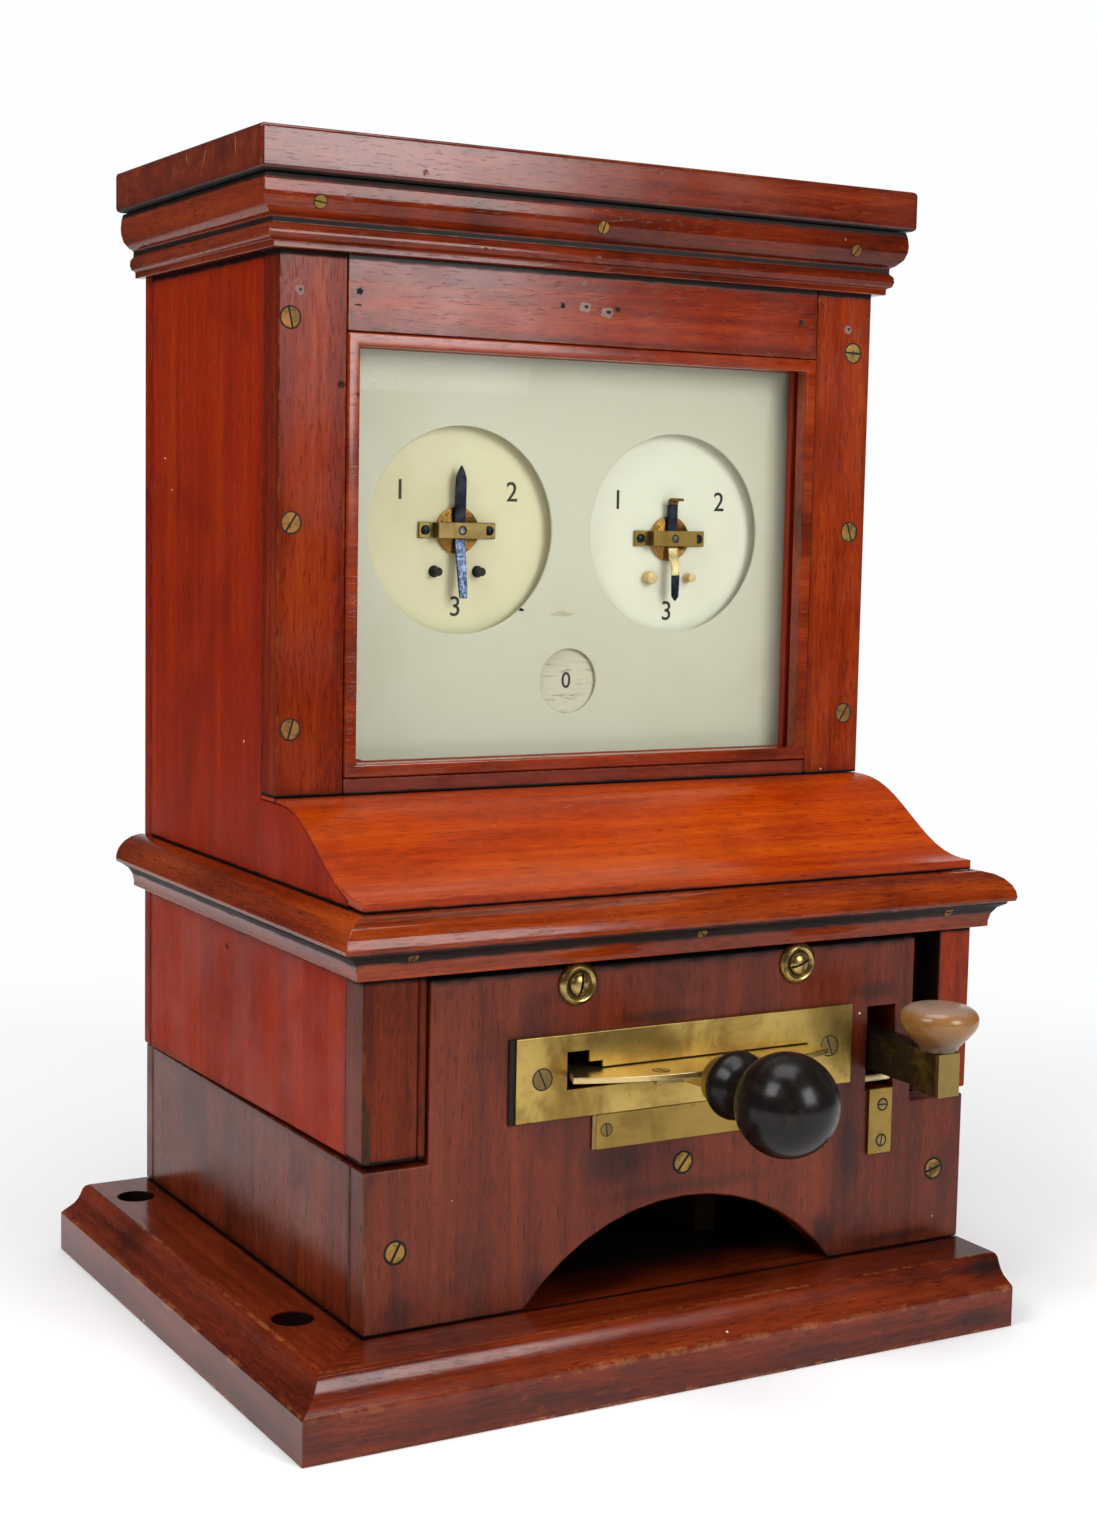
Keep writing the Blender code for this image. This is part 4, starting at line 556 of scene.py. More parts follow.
def lathe(name, profile, centre, axis, material, body, steps=64, angle=40):
    """Turns (radius, along) points round an axis through a centre. Radius zero closes a pole."""
    direction = Vector(axis).normalized()
    side = direction.orthogonal().normalized()
    other = direction.cross(side)
    bm = bmesh.new()
    rings = []
    for radius, along in profile:
        base = Vector(centre) + direction * along
        if radius == 0:
            rings.append([bm.verts.new(base)])
            continue
        ring = []
        for i in range(steps):
            turn = 2 * math.pi * i / steps
            out = side * radius * math.cos(turn) + other * radius * math.sin(turn)
            ring.append(bm.verts.new(base + out))
        rings.append(ring)
    for low, high in zip(rings, rings[1:]):
        join(bm, low, high)
    for ring in (rings[0], rings[-1]):
        if len(ring) > 1:
            bm.faces.new(ring)
    return object_from(name, bm, material, body, angle)


def screw(name, centre, normal, radius, material, body, turn=0.0, dome=0.0, sunk=0.0, rim=None,
          slot=0.16, depth=0.5, inside=None, bury=0.0):
    """A slotted screw head. Dome is how far it stands up, sunk how far its ring lies round it."""
    seat, normal = Vector(centre), Vector(normal).normalized()
    centre = seat - normal * bury
    height = dome or HEAD_RISE
    profile = [(radius, -HEAD_DEPTH), (radius, height * (0.15 if dome else 0.6))]
    for i in range(1, 6):
        bend = math.radians(15 * i)
        if dome:
            profile.append((radius * math.cos(bend), height * (0.15 + 0.85 * math.sin(bend))))
        else:
            profile.append((radius * (1 - 0.06 * i), height))
    profile.append((0, height))
    head = lathe(name, profile, centre, normal, material, body, 32, 50)
    side = normal.orthogonal().normalized()
    across = (Matrix.Rotation(turn, 3, normal) @ side).normalized() * radius * 1.4
    up = normal.cross(across).normalized() * radius * slot / 2
    floor = height * (1 - depth) if dome else -SUNK
    bm = bmesh.new()
    corners = []
    for along in (-1, 1):
        for wide in (-1, 1):
            for rise in (floor, height + 0.002):
                corners.append(bm.verts.new(centre + across * along + up * wide + normal * rise))
    for face in ((0, 1, 3, 2), (4, 6, 7, 5), (0, 4, 5, 1), (2, 3, 7, 6), (0, 2, 6, 4), (1, 5, 7, 3)):
        bm.faces.new([corners[i] for i in face])
    bmesh.ops.recalc_face_normals(bm, faces=bm.faces)
    mesh = bpy.data.meshes.new(name + "_slot")
    bm.to_mesh(mesh)
    bm.free()
    # The slot's faces take the inside or rim finish; a black one is painted shade in the slot.
    mesh.materials.append(inside or rim or material)
    cutter = link(bpy.data.objects.new(name + "_slot", mesh))
    step = head.modifiers.new("slot", "BOOLEAN")
    step.operation = "DIFFERENCE"
    step.solver = "EXACT"
    step.material_mode = "TRANSFER"
    step.object = cutter
    mesh = worked(head)
    head.modifiers.clear()
    head.data = mesh
    bpy.data.objects.remove(cutter)
    # The rim is a flat ring round the head; in black it is painted shade in the screw's countersink.
    if rim is not None:
        ring = [(radius + sunk, -SUNK), (radius + sunk, SMALL), (radius * 0.9, SMALL * 1.5), (0, SMALL * 1.5)]
        lathe(name + "_rim", ring, seat, normal, rim, body, 32)


def screw_row(name, y, radius, places, body, **look):
    """Screws in one upright face, each given as X, Z, turn and finish."""
    for i, (x, z, turn, finish) in enumerate(places):
        screw("%s_%d" % (name, i), (x, y, z), (0, -1, 0), radius, finish, body, turn, **look)


def landed_row(name, node, z, radius, places, rim):
    """Screws in a moulding, each given as X, turn and finish, square to its surface there."""
    tree = BVHTree.FromPolygons([v.co for v in NODES[node].data.vertices],
                                [p.vertices for p in NODES[node].data.polygons])
    for i, (x, turn, finish) in enumerate(places):
        place, normal = tree.ray_cast(Vector((x, -1.0, z)), Vector((0, 1, 0)))[:2]
        if normal.y > 0:
            normal = -normal
        screw("%s_%d" % (name, i), place, normal, radius, finish, BODY_OF[node], turn, rim=rim,
              sunk=0.0003, slot=0.22)


def patch(name, centre, size, material, body, seed=0, rise=SMALL, points=14, rough=0.35):
    """A thin ragged patch on a front face, for a stain, a torn fibre or a hole, whose black is painted shade.
    """
    x, y, z = centre
    shape = []
    for i in range(points):
        turn = 2 * math.pi * i / points
        wobble = 1 + rough * math.sin(i * 2.399 * (seed + 1) + seed) * 0.5
        shape.append((x + size[0] * wobble * math.cos(turn), z + size[1] * wobble * math.sin(turn)))
    loft(name, [[(u, y - along, v) for u, v in shape] for along in (-SUNK, rise)], material, body)


def sheet(name, x, z, y, material):
    """A thin flat sheet with eased edges, such as a backing under a plate, or the black strip of painted
    shadow beside the slot plate.
    """
    corners = ((x[0], z[0]), (x[1], z[0]), (x[1], z[1]), (x[0], z[1]))
    ease(loft(name, [[(u, along, v) for u, v in corners] for along in y], material, "base"), 0.0002)


def numeral(name, text, centre, size, material, body):
    """A plain painted figure lying on a dial, facing the front."""
    curve = bpy.data.curves.new(name, "FONT")
    curve.body = text
    curve.size = size
    curve.extrude = SMALL
    curve.offset = 0.00006
    curve.align_x = "CENTER"
    curve.align_y = "CENTER"
    text_object = link(bpy.data.objects.new(name + "_text", curve))
    text_object.rotation_euler = (math.radians(90), 0, 0)
    text_object.location = centre
    mesh = worked(text_object)
    mesh.transform(text_object.matrix_world)
    bpy.data.objects.remove(text_object)
    mesh.materials.clear()
    mesh.materials.append(material)
    made = link(bpy.data.objects.new(name, mesh))
    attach(made, body)


def strip(name, origin, stations, thickness, material, body):
    """A bent strip down a path of (Y step, Z step, width share) stations, with any X step last."""
    rings = []
    for i, station in enumerate(stations):
        y, z, share, shift = (*station, 0.0)[:4]
        before = stations[max(i - 1, 0)]
        after = stations[min(i + 1, len(stations) - 1)]
        run = Vector((0, after[0] - before[0], after[1] - before[1])).normalized()
        out = run.cross(Vector((1, 0, 0))).normalized() * thickness / 2
        middle = Vector(origin) + Vector((shift, y, z))
        side = Vector((max(STRIP_WIDTH * share / 2, STRIP_TIP), 0, 0))
        rings.append([middle + side * a + out * b for a, b in ((-1, -1), (1, -1), (1, 1), (-1, 1))])
    return ease(loft(name, rings, material, body, 30), thickness * 0.18)


def scratch(name, start, end, normal, width, material):
    """A fine line between two places on a flat face."""
    start, end, normal = Vector(start), Vector(end), Vector(normal)
    across = (end - start).normalized().cross(normal).normalized() * width
    middle = (start + end) / 2 + across * 0.8
    points = (start, middle - across, end, middle + across)
    rings = [[point + normal * rise for point in points] for rise in (-SUNK, SMALL)]
    loft(name, rings, material, "hood")


# The wooden case


def case_looks():
    """Every board gets its own grain, so no two neighbours share a figure."""
    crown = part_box("cornice")
    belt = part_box("middle_moulding")
    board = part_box("base_board")
    crown_top = crown[1].z
    belt_top = belt[1].z
    board_top = board[1].z
    stile_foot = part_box("stile_left")[0].z
    # The shade bands below are painted shade: shadow gaps under the lid and the cornice, shade above and
    # below the middle moulding, at the sill, at the case's foot and beside the panel.
    eaves = ("Z", crown[0].z, 0.0032)
    shelf = ("Z", belt_top, 0.0020)
    under = ("Z", belt[0].z, 0.0034)
    sill = ("Z", stile_foot, 0.0018)
    foot = ("Z", board_top, 0.0018)
    lid_gap = ("Z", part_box("hood_lid")[0].z, 0.0013)
    panel_gap = ("X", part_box("lower_stile_right")[0].x, 0.0012)
    hood = dict(gloss=0.40, specular=0.06, patina=0.40)
    stile = dict(gloss=0.20, specular=0.20, shade_bands=(eaves, sill))
    low_side = dict(gloss=0.22, specular=0.16, shade_bands=(foot,))
    boards = (
        ("hood_lid", LID_TONES, "X", 1.3, 0.0009,
         dict(gloss=0.17, coat=0.12, specular=0.36, rub=0.6, patina=0.7, specks=1.2, shade_bands=(lid_gap,))),
        ("hood_side_left", SIDE_TONES, "Z", 2.1, 0.0005,
         dict(hood, shade_bands=(eaves, shelf, under), stripe=(STILE_PLANE, 0.0095, stile_foot))),
        ("hood_side_right", SIDE_TONES, "Z", 3.7, 0.0005, dict(hood, shade_bands=(eaves, shelf, under))),
        ("hood_back", SIDE_TONES, "Z", 4.9, 0.0005, dict(hood, patina=0.8)),
        ("stile_left", STILE_TONES, "Z", 5.2, 0.0004, dict(stile, specular=0.13)),
        ("stile_right", FRONT_TONES, "Z", 6.8, 0.0004, stile),
        ("head_rail", FRONT_TONES, "X", 7.4, 0.0004,
         dict(gloss=0.20, specular=0.32, coat=0.08, shade_bands=(eaves,), specks=1.5)),
        ("sill_rail", FRONT_TONES, "X", 8.6, 0.0004, dict(gloss=0.30, shade_bands=(sill,))),
        ("lower_stile_right", FRONT_TONES, "Z", 9.1, 0.0005,
         dict(gloss=0.34, specular=0.14, shade_bands=(under, panel_gap))),
        ("lower_rail", PANEL_TONES, "X", 9.9, 0.0005, {}),
        ("base_side_left", PANEL_TONES, "Z", 10.5, 0.0006, dict(low_side, patina=0.9, edge=0.6)),
        ("base_side_right", PANEL_TONES, "Z", 11.3, 0.0006, low_side),
        ("base_back", PANEL_TONES, "X", 12.7, 0.0006, dict(gloss=0.35, shade_bands=(foot,))),
        ("front_panel", PANEL_TONES, "Z", 13.9, 0.0007,
         dict(gloss=0.30, specular=0.24, patina=0.85, edge=0.30, blotch_scale=19.0,
              shade_bands=(foot, ("Z", under[1], 0.0070)), smudges_and_shadow=PANEL_SMUDGES_AND_SHADOW)),
    )
    for node, tones, grain, seed, bevel, extra in boards:
        dress(node, wood("wood_" + node, tones, grain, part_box(node), seed, **extra), bevel)
    hole_x = board[0].x + HOLE_INSET
    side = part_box("base_side_left")[0].x
    # The mouldings' shade bands paint shade in their coves and at their joints.
    mouldings = (
        ("cornice", CORNICE_TONES, "X", 14.2, 28,
         dict(gloss=0.10, specular=0.28, patina=0.9, mitre=(crown[1].x, crown[0].y, True), rub=0.5,
              arrises=((0.0063, crown_top - 0.0255, 0.0007), (0.0045, crown_top - 0.0222, 0.0008)),
              shade_bands=(("Z", crown_top, 0.0034), ("Z", crown_top - 0.0158, 0.0016)))),
        ("middle_moulding", MOULD_TONES, "X", 15.6, 28,
         dict(gloss=0.10, specular=0.26, patina=0.8, mitre=(belt[1].x, belt[0].y, True), rub=0.8,
              arrises=((0.0004, belt_top - 0.0113, 0.0009), (0.0028, belt_top - 0.0118, 0.0008)),
              shade_bands=(("Z", belt_top - 0.0139, 0.0044),))),
        ("ogee_board", OGEE_TONES, "X", 16.8, 35,
         dict(gloss=0.22, specular=0.16, patina=0.40, specks=1.3,
              shade_bands=(("Y", STILE_PLANE, 0.0014), shelf))),
        ("window_bead", FRONT_TONES, "X", 17.1, 35, dict(gloss=0.16, coat=0.25, patina=0.8)),
        ("glass_retainer", SIDE_TONES, "Z", 18.4, 35, dict(gloss=0.4)),
        ("base_board", BASE_TONES, "X", 19.7, 28,
         dict(gloss=0.19, coat=0.08, patina=0.9, specks=1.4, specular=0.26, rub=0.85,
              mitre=(-board[0].x, board[0].y, False), smudges_and_shadow=BASE_SMUDGES,
              arrises=((BASE_RUN, board_top, 0.0013), (0.0, BASE_EDGE, 0.0021), (0.0, 0.0, 0.0014)),
              shaded_holes=[(hole_x, place, HOLE_RADIUS, board_top) for place in HOLE_PLACES],
              case_foot_shade=(-side, FRONT_PLANE, board_top))),
    )
    for node, tones, grain, seed, angle, extra in mouldings:
        dress(node, wood("wood_" + node, tones, grain, None, seed, **extra), 0.0004, 2, angle)
    corner_stile(belt[0].z)


def corner_stile(under):
    """The left lower stile, with the bead that is run down its inner edge."""
    low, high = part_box("lower_stile_left")
    # Painted shade at the stile's foot and under the middle moulding.
    shade_bands = (("Z", low.z, 0.0018), ("Z", under, 0.0040))
    material = wood("wood_lower_stile_left", PANEL_TONES, "Z", (low, high), 20.3, specular=0.10, shade_bands=shade_bands)
    front = low.y
    groove = high.x - 0.0044
    bead = high.x - 0.0019
    radius = 0.0018
    outline = [(low.x, high.y), (low.x, front + 0.0008), (low.x + 0.0008, front), (groove, front)]
    outline += [(groove + 0.0002, front + 0.0009), (groove + 0.0007, front + 0.0009)]
    for i in range(9):
        turn = math.radians(180 - i * 22.5)
        outline.append((bead + radius * math.cos(turn), front + radius - radius * math.sin(turn)))
    outline += [(high.x - 0.0001, front + radius), (high.x - 0.0001, high.y)]
    rings = [[(x, y, z) for x, y in outline] for z in (low.z, high.z)]
    made = loft("lower_stile_left_looks", rings, material, "hood", 30)
    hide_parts("lower_stile_left")


# Metal, dials and fittings


def brass_looks():
    sheet_brass = brass("brass_plate", (0.43, 0.300, 0.082), (0.165, 0.088, 0.016), 0.7, 0.94, 0.34)
    small = brass("brass_small_plate", (0.265, 0.168, 0.040), (0.125, 0.070, 0.015), 1.9, 0.7, 0.38)
    quadrant = brass("brass_quadrant", (0.58, 0.45, 0.200), (0.34, 0.220, 0.065), 2.6, 0.5, 0.28)
    turned = brass("brass_turned", (0.52, 0.40, 0.160), (0.30, 0.190, 0.055), 3.1, 0.6, 0.28, "Z")
    # The lever is bright at its front face and dark behind it: tarnish, with painted light on the front and
    # painted shade on the sides.
    lever = brass("brass_lever", (0.24, 0.168, 0.054), (0.020, 0.018, 0.015), 4.2, 1.0, 0.42, "Y", 70.0,
                  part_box("key_lever")[0].y)
    cup = brass("brass_cup", (0.40, 0.290, 0.100), (0.150, 0.095, 0.028), 2.2, 0.9, 0.26, "Z", 160.0)
    dark = brass("brass_dark", (0.24, 0.165, 0.060), (0.085, 0.055, 0.022), 5.3, 0.8, 0.40, "Z")
    discs = []
    for node in ("bearing_disc_left", "bearing_disc_right"):
        low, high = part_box(node)
        discs.append(brass("brass_" + node, (0.46, 0.230, 0.045), (0.150, 0.065, 0.014), 6.1, 0.8, 0.24,
                           "Z", 90.0, None, ((low.x + high.x) / 2, (low.z + high.z) / 2)))
    for node, material, bevel in (
        ("slot_plate", sheet_brass, 0.0003), ("blank_plate", small, 0.0002),
        ("key_stop_plate", small, 0.0002), ("guide_quadrant", quadrant, 0.0003),
        ("handle_arm", quadrant, 0.0003), ("key_bracket", dark, 0.0004), ("pivot_post", turned, 0.0004),
        ("contact_left", turned, 0.0006), ("contact_centre", turned, 0.0006),
        ("contact_right", turned, 0.0006), ("bridge_left", dark, 0.0003), ("bridge_right", small, 0.0003),
        ("bearing_disc_left", discs[0], 0.0002), ("bearing_disc_right", discs[1], 0.0002),
    ):
        dress(node, material, bevel)
    dress("key_lever", lever, 0.0007, 3)
    collar_looks(turned)
    return {"small": small, "dark": dark, "bright": quadrant, "cup": cup}


def collar_looks(material):
    low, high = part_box("handle_collar")
    radius = (high.x - low.x) / 2
    length = high.y - low.y
    centre = ((low.x + high.x) / 2, high.y, (low.z + high.z) / 2)
    profile = [(0, 0), (radius - 0.0010, 0), (radius - 0.0002, 0.0003), (radius, 0.0011)]
    profile += [(radius, length * 0.78), (radius - 0.0004, length * 0.92), (radius - 0.0014, length)]
    profile.append((0, length))
    made = lathe("handle_collar_looks", profile, centre, (0, -1, 0), material, "handle", 96)
    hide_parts("handle_collar")
    pin = Graph("set_screw").finish((0.02, 0.014, 0.008), 0.5, None, 0.6)
    top = (centre[0] - 0.0005, high.y - length * 0.45, high.z - 0.0001)
    profile = [(0.0011, -0.0006), (0.0011, 0.00012), (0, 0.00018)]
    lathe("set_screw", profile, top, (0, 0, 1), pin, "handle", 24)


def handle_looks():
    """The turned knob: a flared collar, a waist and a ball."""
    low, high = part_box("handle_knob")
    ball = (high.x - low.x) / 2
    flare = 0.0127
    waist = 0.0090
    centre = ((low.x + high.x) / 2, high.y, (low.z + high.z) / 2)
    profile = [(0, 0), (flare - 0.0016, 0), (flare - 0.0005, 0.0004), (flare - 0.00005, 0.0016)]
    profile += [(flare, 0.0032), (flare - 0.0005, 0.0050), (flare - 0.0016, 0.0068)]
    profile += [(flare - 0.0028, 0.0086), (flare - 0.0036, 0.0106), (0.00885, 0.0126), (0.0087, 0.0146)]
    middle = high.y - low.y - ball
    start = math.pi - math.asin(waist / ball)
    for i in range(36):
        turn = start * (1 - i / 36)
        profile.append((ball * math.sin(turn), middle + ball * math.cos(turn)))
    profile.append((0, middle + ball))
    made = lathe("handle_knob_looks", profile, centre, (0, -1, 0), ebony_material(), "handle", 96, 60)
    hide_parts("handle_knob")


def key_knob_looks():
    low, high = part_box("key_knob")
    radius = (high.x - low.x) / 2
    height = high.z - low.z
    centre = ((low.x + high.x) / 2, (low.y + high.y) / 2, low.z)
    shares = ((0.0, 0.0), (0.485, 0.0), (0.50, 0.03), (0.52, 0.08), (0.58, 0.14), (0.66, 0.21), (0.75, 0.29),
              (0.84, 0.38), (0.92, 0.46), (0.975, 0.55), (1.0, 0.645), (0.995, 0.73), (0.965, 0.80),
              (0.90, 0.87), (0.80, 0.925), (0.66, 0.965), (0.48, 0.988), (0.25, 0.998), (0.0, 1.0))
    profile = [(r * radius, z * height) for r, z in shares]
    made = lathe("key_knob_looks", profile, centre, (0, 0, 1), horn_material(), "key", 96, 60)
    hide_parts("key_knob")


def dial_looks(ink):
    cream = painted("dial_cream", (0.66, 0.61, 0.40), (0.46, 0.38, 0.20), 0.5, 0.42, 0.45)
    ivory = painted("dial_pale", (0.72, 0.71, 0.59), (0.54, 0.51, 0.39), 1.7, 0.40, 0.35)
    dress("dial_plate_left", cream, 0.0003)
    dress("dial_plate_right", ivory, 0.0003)
    mask = painted("mask_enamel", (0.55, 0.535, 0.43), (0.43, 0.40, 0.28), 2.2, 0.38, 0.30)
    dress("mask_plate", mask, 0.0003, 2, 30)
    flag = painted("flag_enamel", (0.56, 0.53, 0.41), (0.34, 0.31, 0.22), 3.4, 0.5, 0.5, streaky=True)
    dress("lock_flag", flag)
    for side in ("left", "right"):
        x, face, z = dial_place(side)
        for label, dx, dz in (("1", -0.0245, 0.0150), ("2", 0.0245, 0.0150), ("3", 0.0, -0.0300)):
            place = (x + dx, face - SMALL, z + dz)
            numeral("figure_%s_%s" % (side, label), label, place, 0.0110, ink, "base")
    low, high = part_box("lock_flag")
    place = ((low.x + high.x) / 2, low.y - SMALL, low.z + 0.0145)
    numeral("figure_flag", "0", place, 0.0090, ink, "lock_flag")


def dial_place(side):
    """The middle of a dial's face."""
    low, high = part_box("dial_plate_" + side)
    return (low.x + high.x) / 2, high.y - 0.0015, (low.z + high.z) / 2


def needle_looks():
    blued = metal("blued_steel", (0.016, 0.017, 0.024), (0.045, 0.050, 0.075), 0.4, 0.42)
    greyed = metal("greyed_steel", (0.13, 0.17, 0.27), (0.035, 0.045, 0.08), 1.4, 0.45, 900.0)
    tail = brass("brass_tail", (0.80, 0.66, 0.34), (0.42, 0.28, 0.10), 7.7, 0.4, 0.24, "Z")
    bronze = brass("bronze_hook", (0.20, 0.105, 0.030), (0.035, 0.022, 0.014), 7.1, 1.0, 0.34, "Z", 300.0)
    low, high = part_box("needle_left")
    origin = ((low.x + high.x) / 2, (low.y + high.y) / 2, low.z + 0.027)
    top = ((-0.0012, 0.0250, 0.05), (-0.0011, 0.0225, 0.62), (-0.0010, 0.0200, 0.95),
           (-0.0006, 0.0100, 1.0), (0.0, 0.0040, 1.0), (0.0, -0.0010, 1.0))
    upper = strip("needle_left_upper", origin, top, 0.0012, blued, "needle_left")
    bottom = ((0.0, -0.0010, 0.96), (-0.0003, -0.0050, 0.96), (-0.0014, -0.0100, 0.92),
              (-0.0026, -0.0160, 0.86), (-0.0036, -0.0220, 0.80), (-0.0042, -0.0262, 0.70))
    lower = strip("needle_left_lower", origin, bottom, 0.0011, greyed, "needle_left")
    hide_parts("needle_left")
    low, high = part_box("needle_right")
    origin = ((low.x + high.x) / 2 - 0.0022, (low.y + high.y) / 2, high.z - 0.016)
    top = ((0.0, 0.0138, 1.0), (0.0, 0.0060, 1.0), (0.0, -0.0010, 1.0))
    upper = strip("needle_right_upper", origin, top, 0.0011, blued, "needle_right")
    hook = ((-0.0002, 0.0138, 1.0), (-0.0004, 0.0152, 1.0), (-0.0014, 0.0159, 1.0),
            (-0.0030, 0.0160, 0.96, 0.0003), (-0.0048, 0.0158, 0.85, 0.0005))
    strip("needle_right_hook", origin, hook, 0.0011, bronze, "needle_right")
    middle = ((0.0, -0.0010, 1.0), (-0.0004, -0.0040, 1.0), (-0.0016, -0.0075, 0.95),
              (-0.0032, -0.0115, 0.82), (-0.0034, -0.0150, 0.80))
    strip("needle_right_middle", origin, middle, 0.0010, tail, "needle_right")
    end = ((-0.0034, -0.0150, 0.78), (-0.0034, -0.0200, 0.74), (-0.0034, -0.0235, 0.66),
           (-0.0034, -0.0253, 0.06))
    strip("needle_right_end", origin, end, 0.0010, blued, "needle_right")
    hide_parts("needle_right")
    for name in ("bridge_left", "bridge_right"):
        low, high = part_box(name)
        for side, sign in (("a", -1), ("b", 1)):
            place = ((low.x + high.x) / 2 + sign * 0.0140, high.y - 0.001, (low.z + high.z) / 2)
            screw("%s_screw_%s" % (name, side), place, (0, -1, 0), 0.0019, blued, "base", 0.5 + sign,
                  dome=0.0010)
    button = painted("stop_button", (0.62, 0.47, 0.22), (0.40, 0.26, 0.10), 5.0, 0.35, 0.5)
    dark = metal("stop_dark", (0.02, 0.02, 0.022), (0.05, 0.05, 0.05), 2.0, 0.5)
    plain = ((0.0023, 0), (0.0023, 0.0006), (0.0018, 0.0010), (0.0017, 0.0043), (0, 0.0044))
    barrel = ((0.0026, 0), (0.0028, 0.0020), (0.0024, 0.0040), (0.0012, 0.0046), (0, 0.0047))
    collared = ((0.0022, 0), (0.0022, 0.0004), (0.0017, 0.0006), (0.0017, 0.0046), (0, 0.0050))
    for side, finish, profiles in (("left", dark, (plain, plain)), ("right", button, (barrel, collared))):
        x, face, z = dial_place(side)
        for letter, sign, profile in zip("ab", (-1, 1), profiles):
            place = (x + sign * 0.0095, face, z - 0.016)
            lathe("stop_%s_%s" % (side, letter), profile, place, (0, -1, 0), finish, "base", 32)


def inner_looks():
    plain = dict(gloss=0.55, specular=0.05, specks=0.3)
    board = wood("wood_movement_board", INNER_TONES, "X", None, 21.0, **plain)
    block = wood("wood_blocks", INNER_TONES, "Z", None, 22.0, **plain)
    dress("movement_board", board, 0.0006)
    for node in ("movement_post_left", "movement_post_right", "commutator_bed", "key_base"):
        dress(node, block, 0.0006)
    steel = metal("plain_steel", (0.20, 0.20, 0.21), (0.08, 0.07, 0.065), 3.0, 0.38)
    for node in ("arbor_left", "arbor_right", "lock_armature", "lock_yoke", "key_spring"):
        dress(node, steel, angle=40)
    silk = winding_material()
    for node in ("coil_left", "coil_right", "lock_coil"):
        dress(node, silk, angle=40)
    bone = painted("bone_pin", (0.70, 0.58, 0.34), (0.50, 0.36, 0.16), 6.0, 0.35, 0.5)
    dress("key_stop_pin", bone, 0.0003)
    glass = glass_material()
    for place in NODES["window_glass"].material_slots:
        place.material = glass


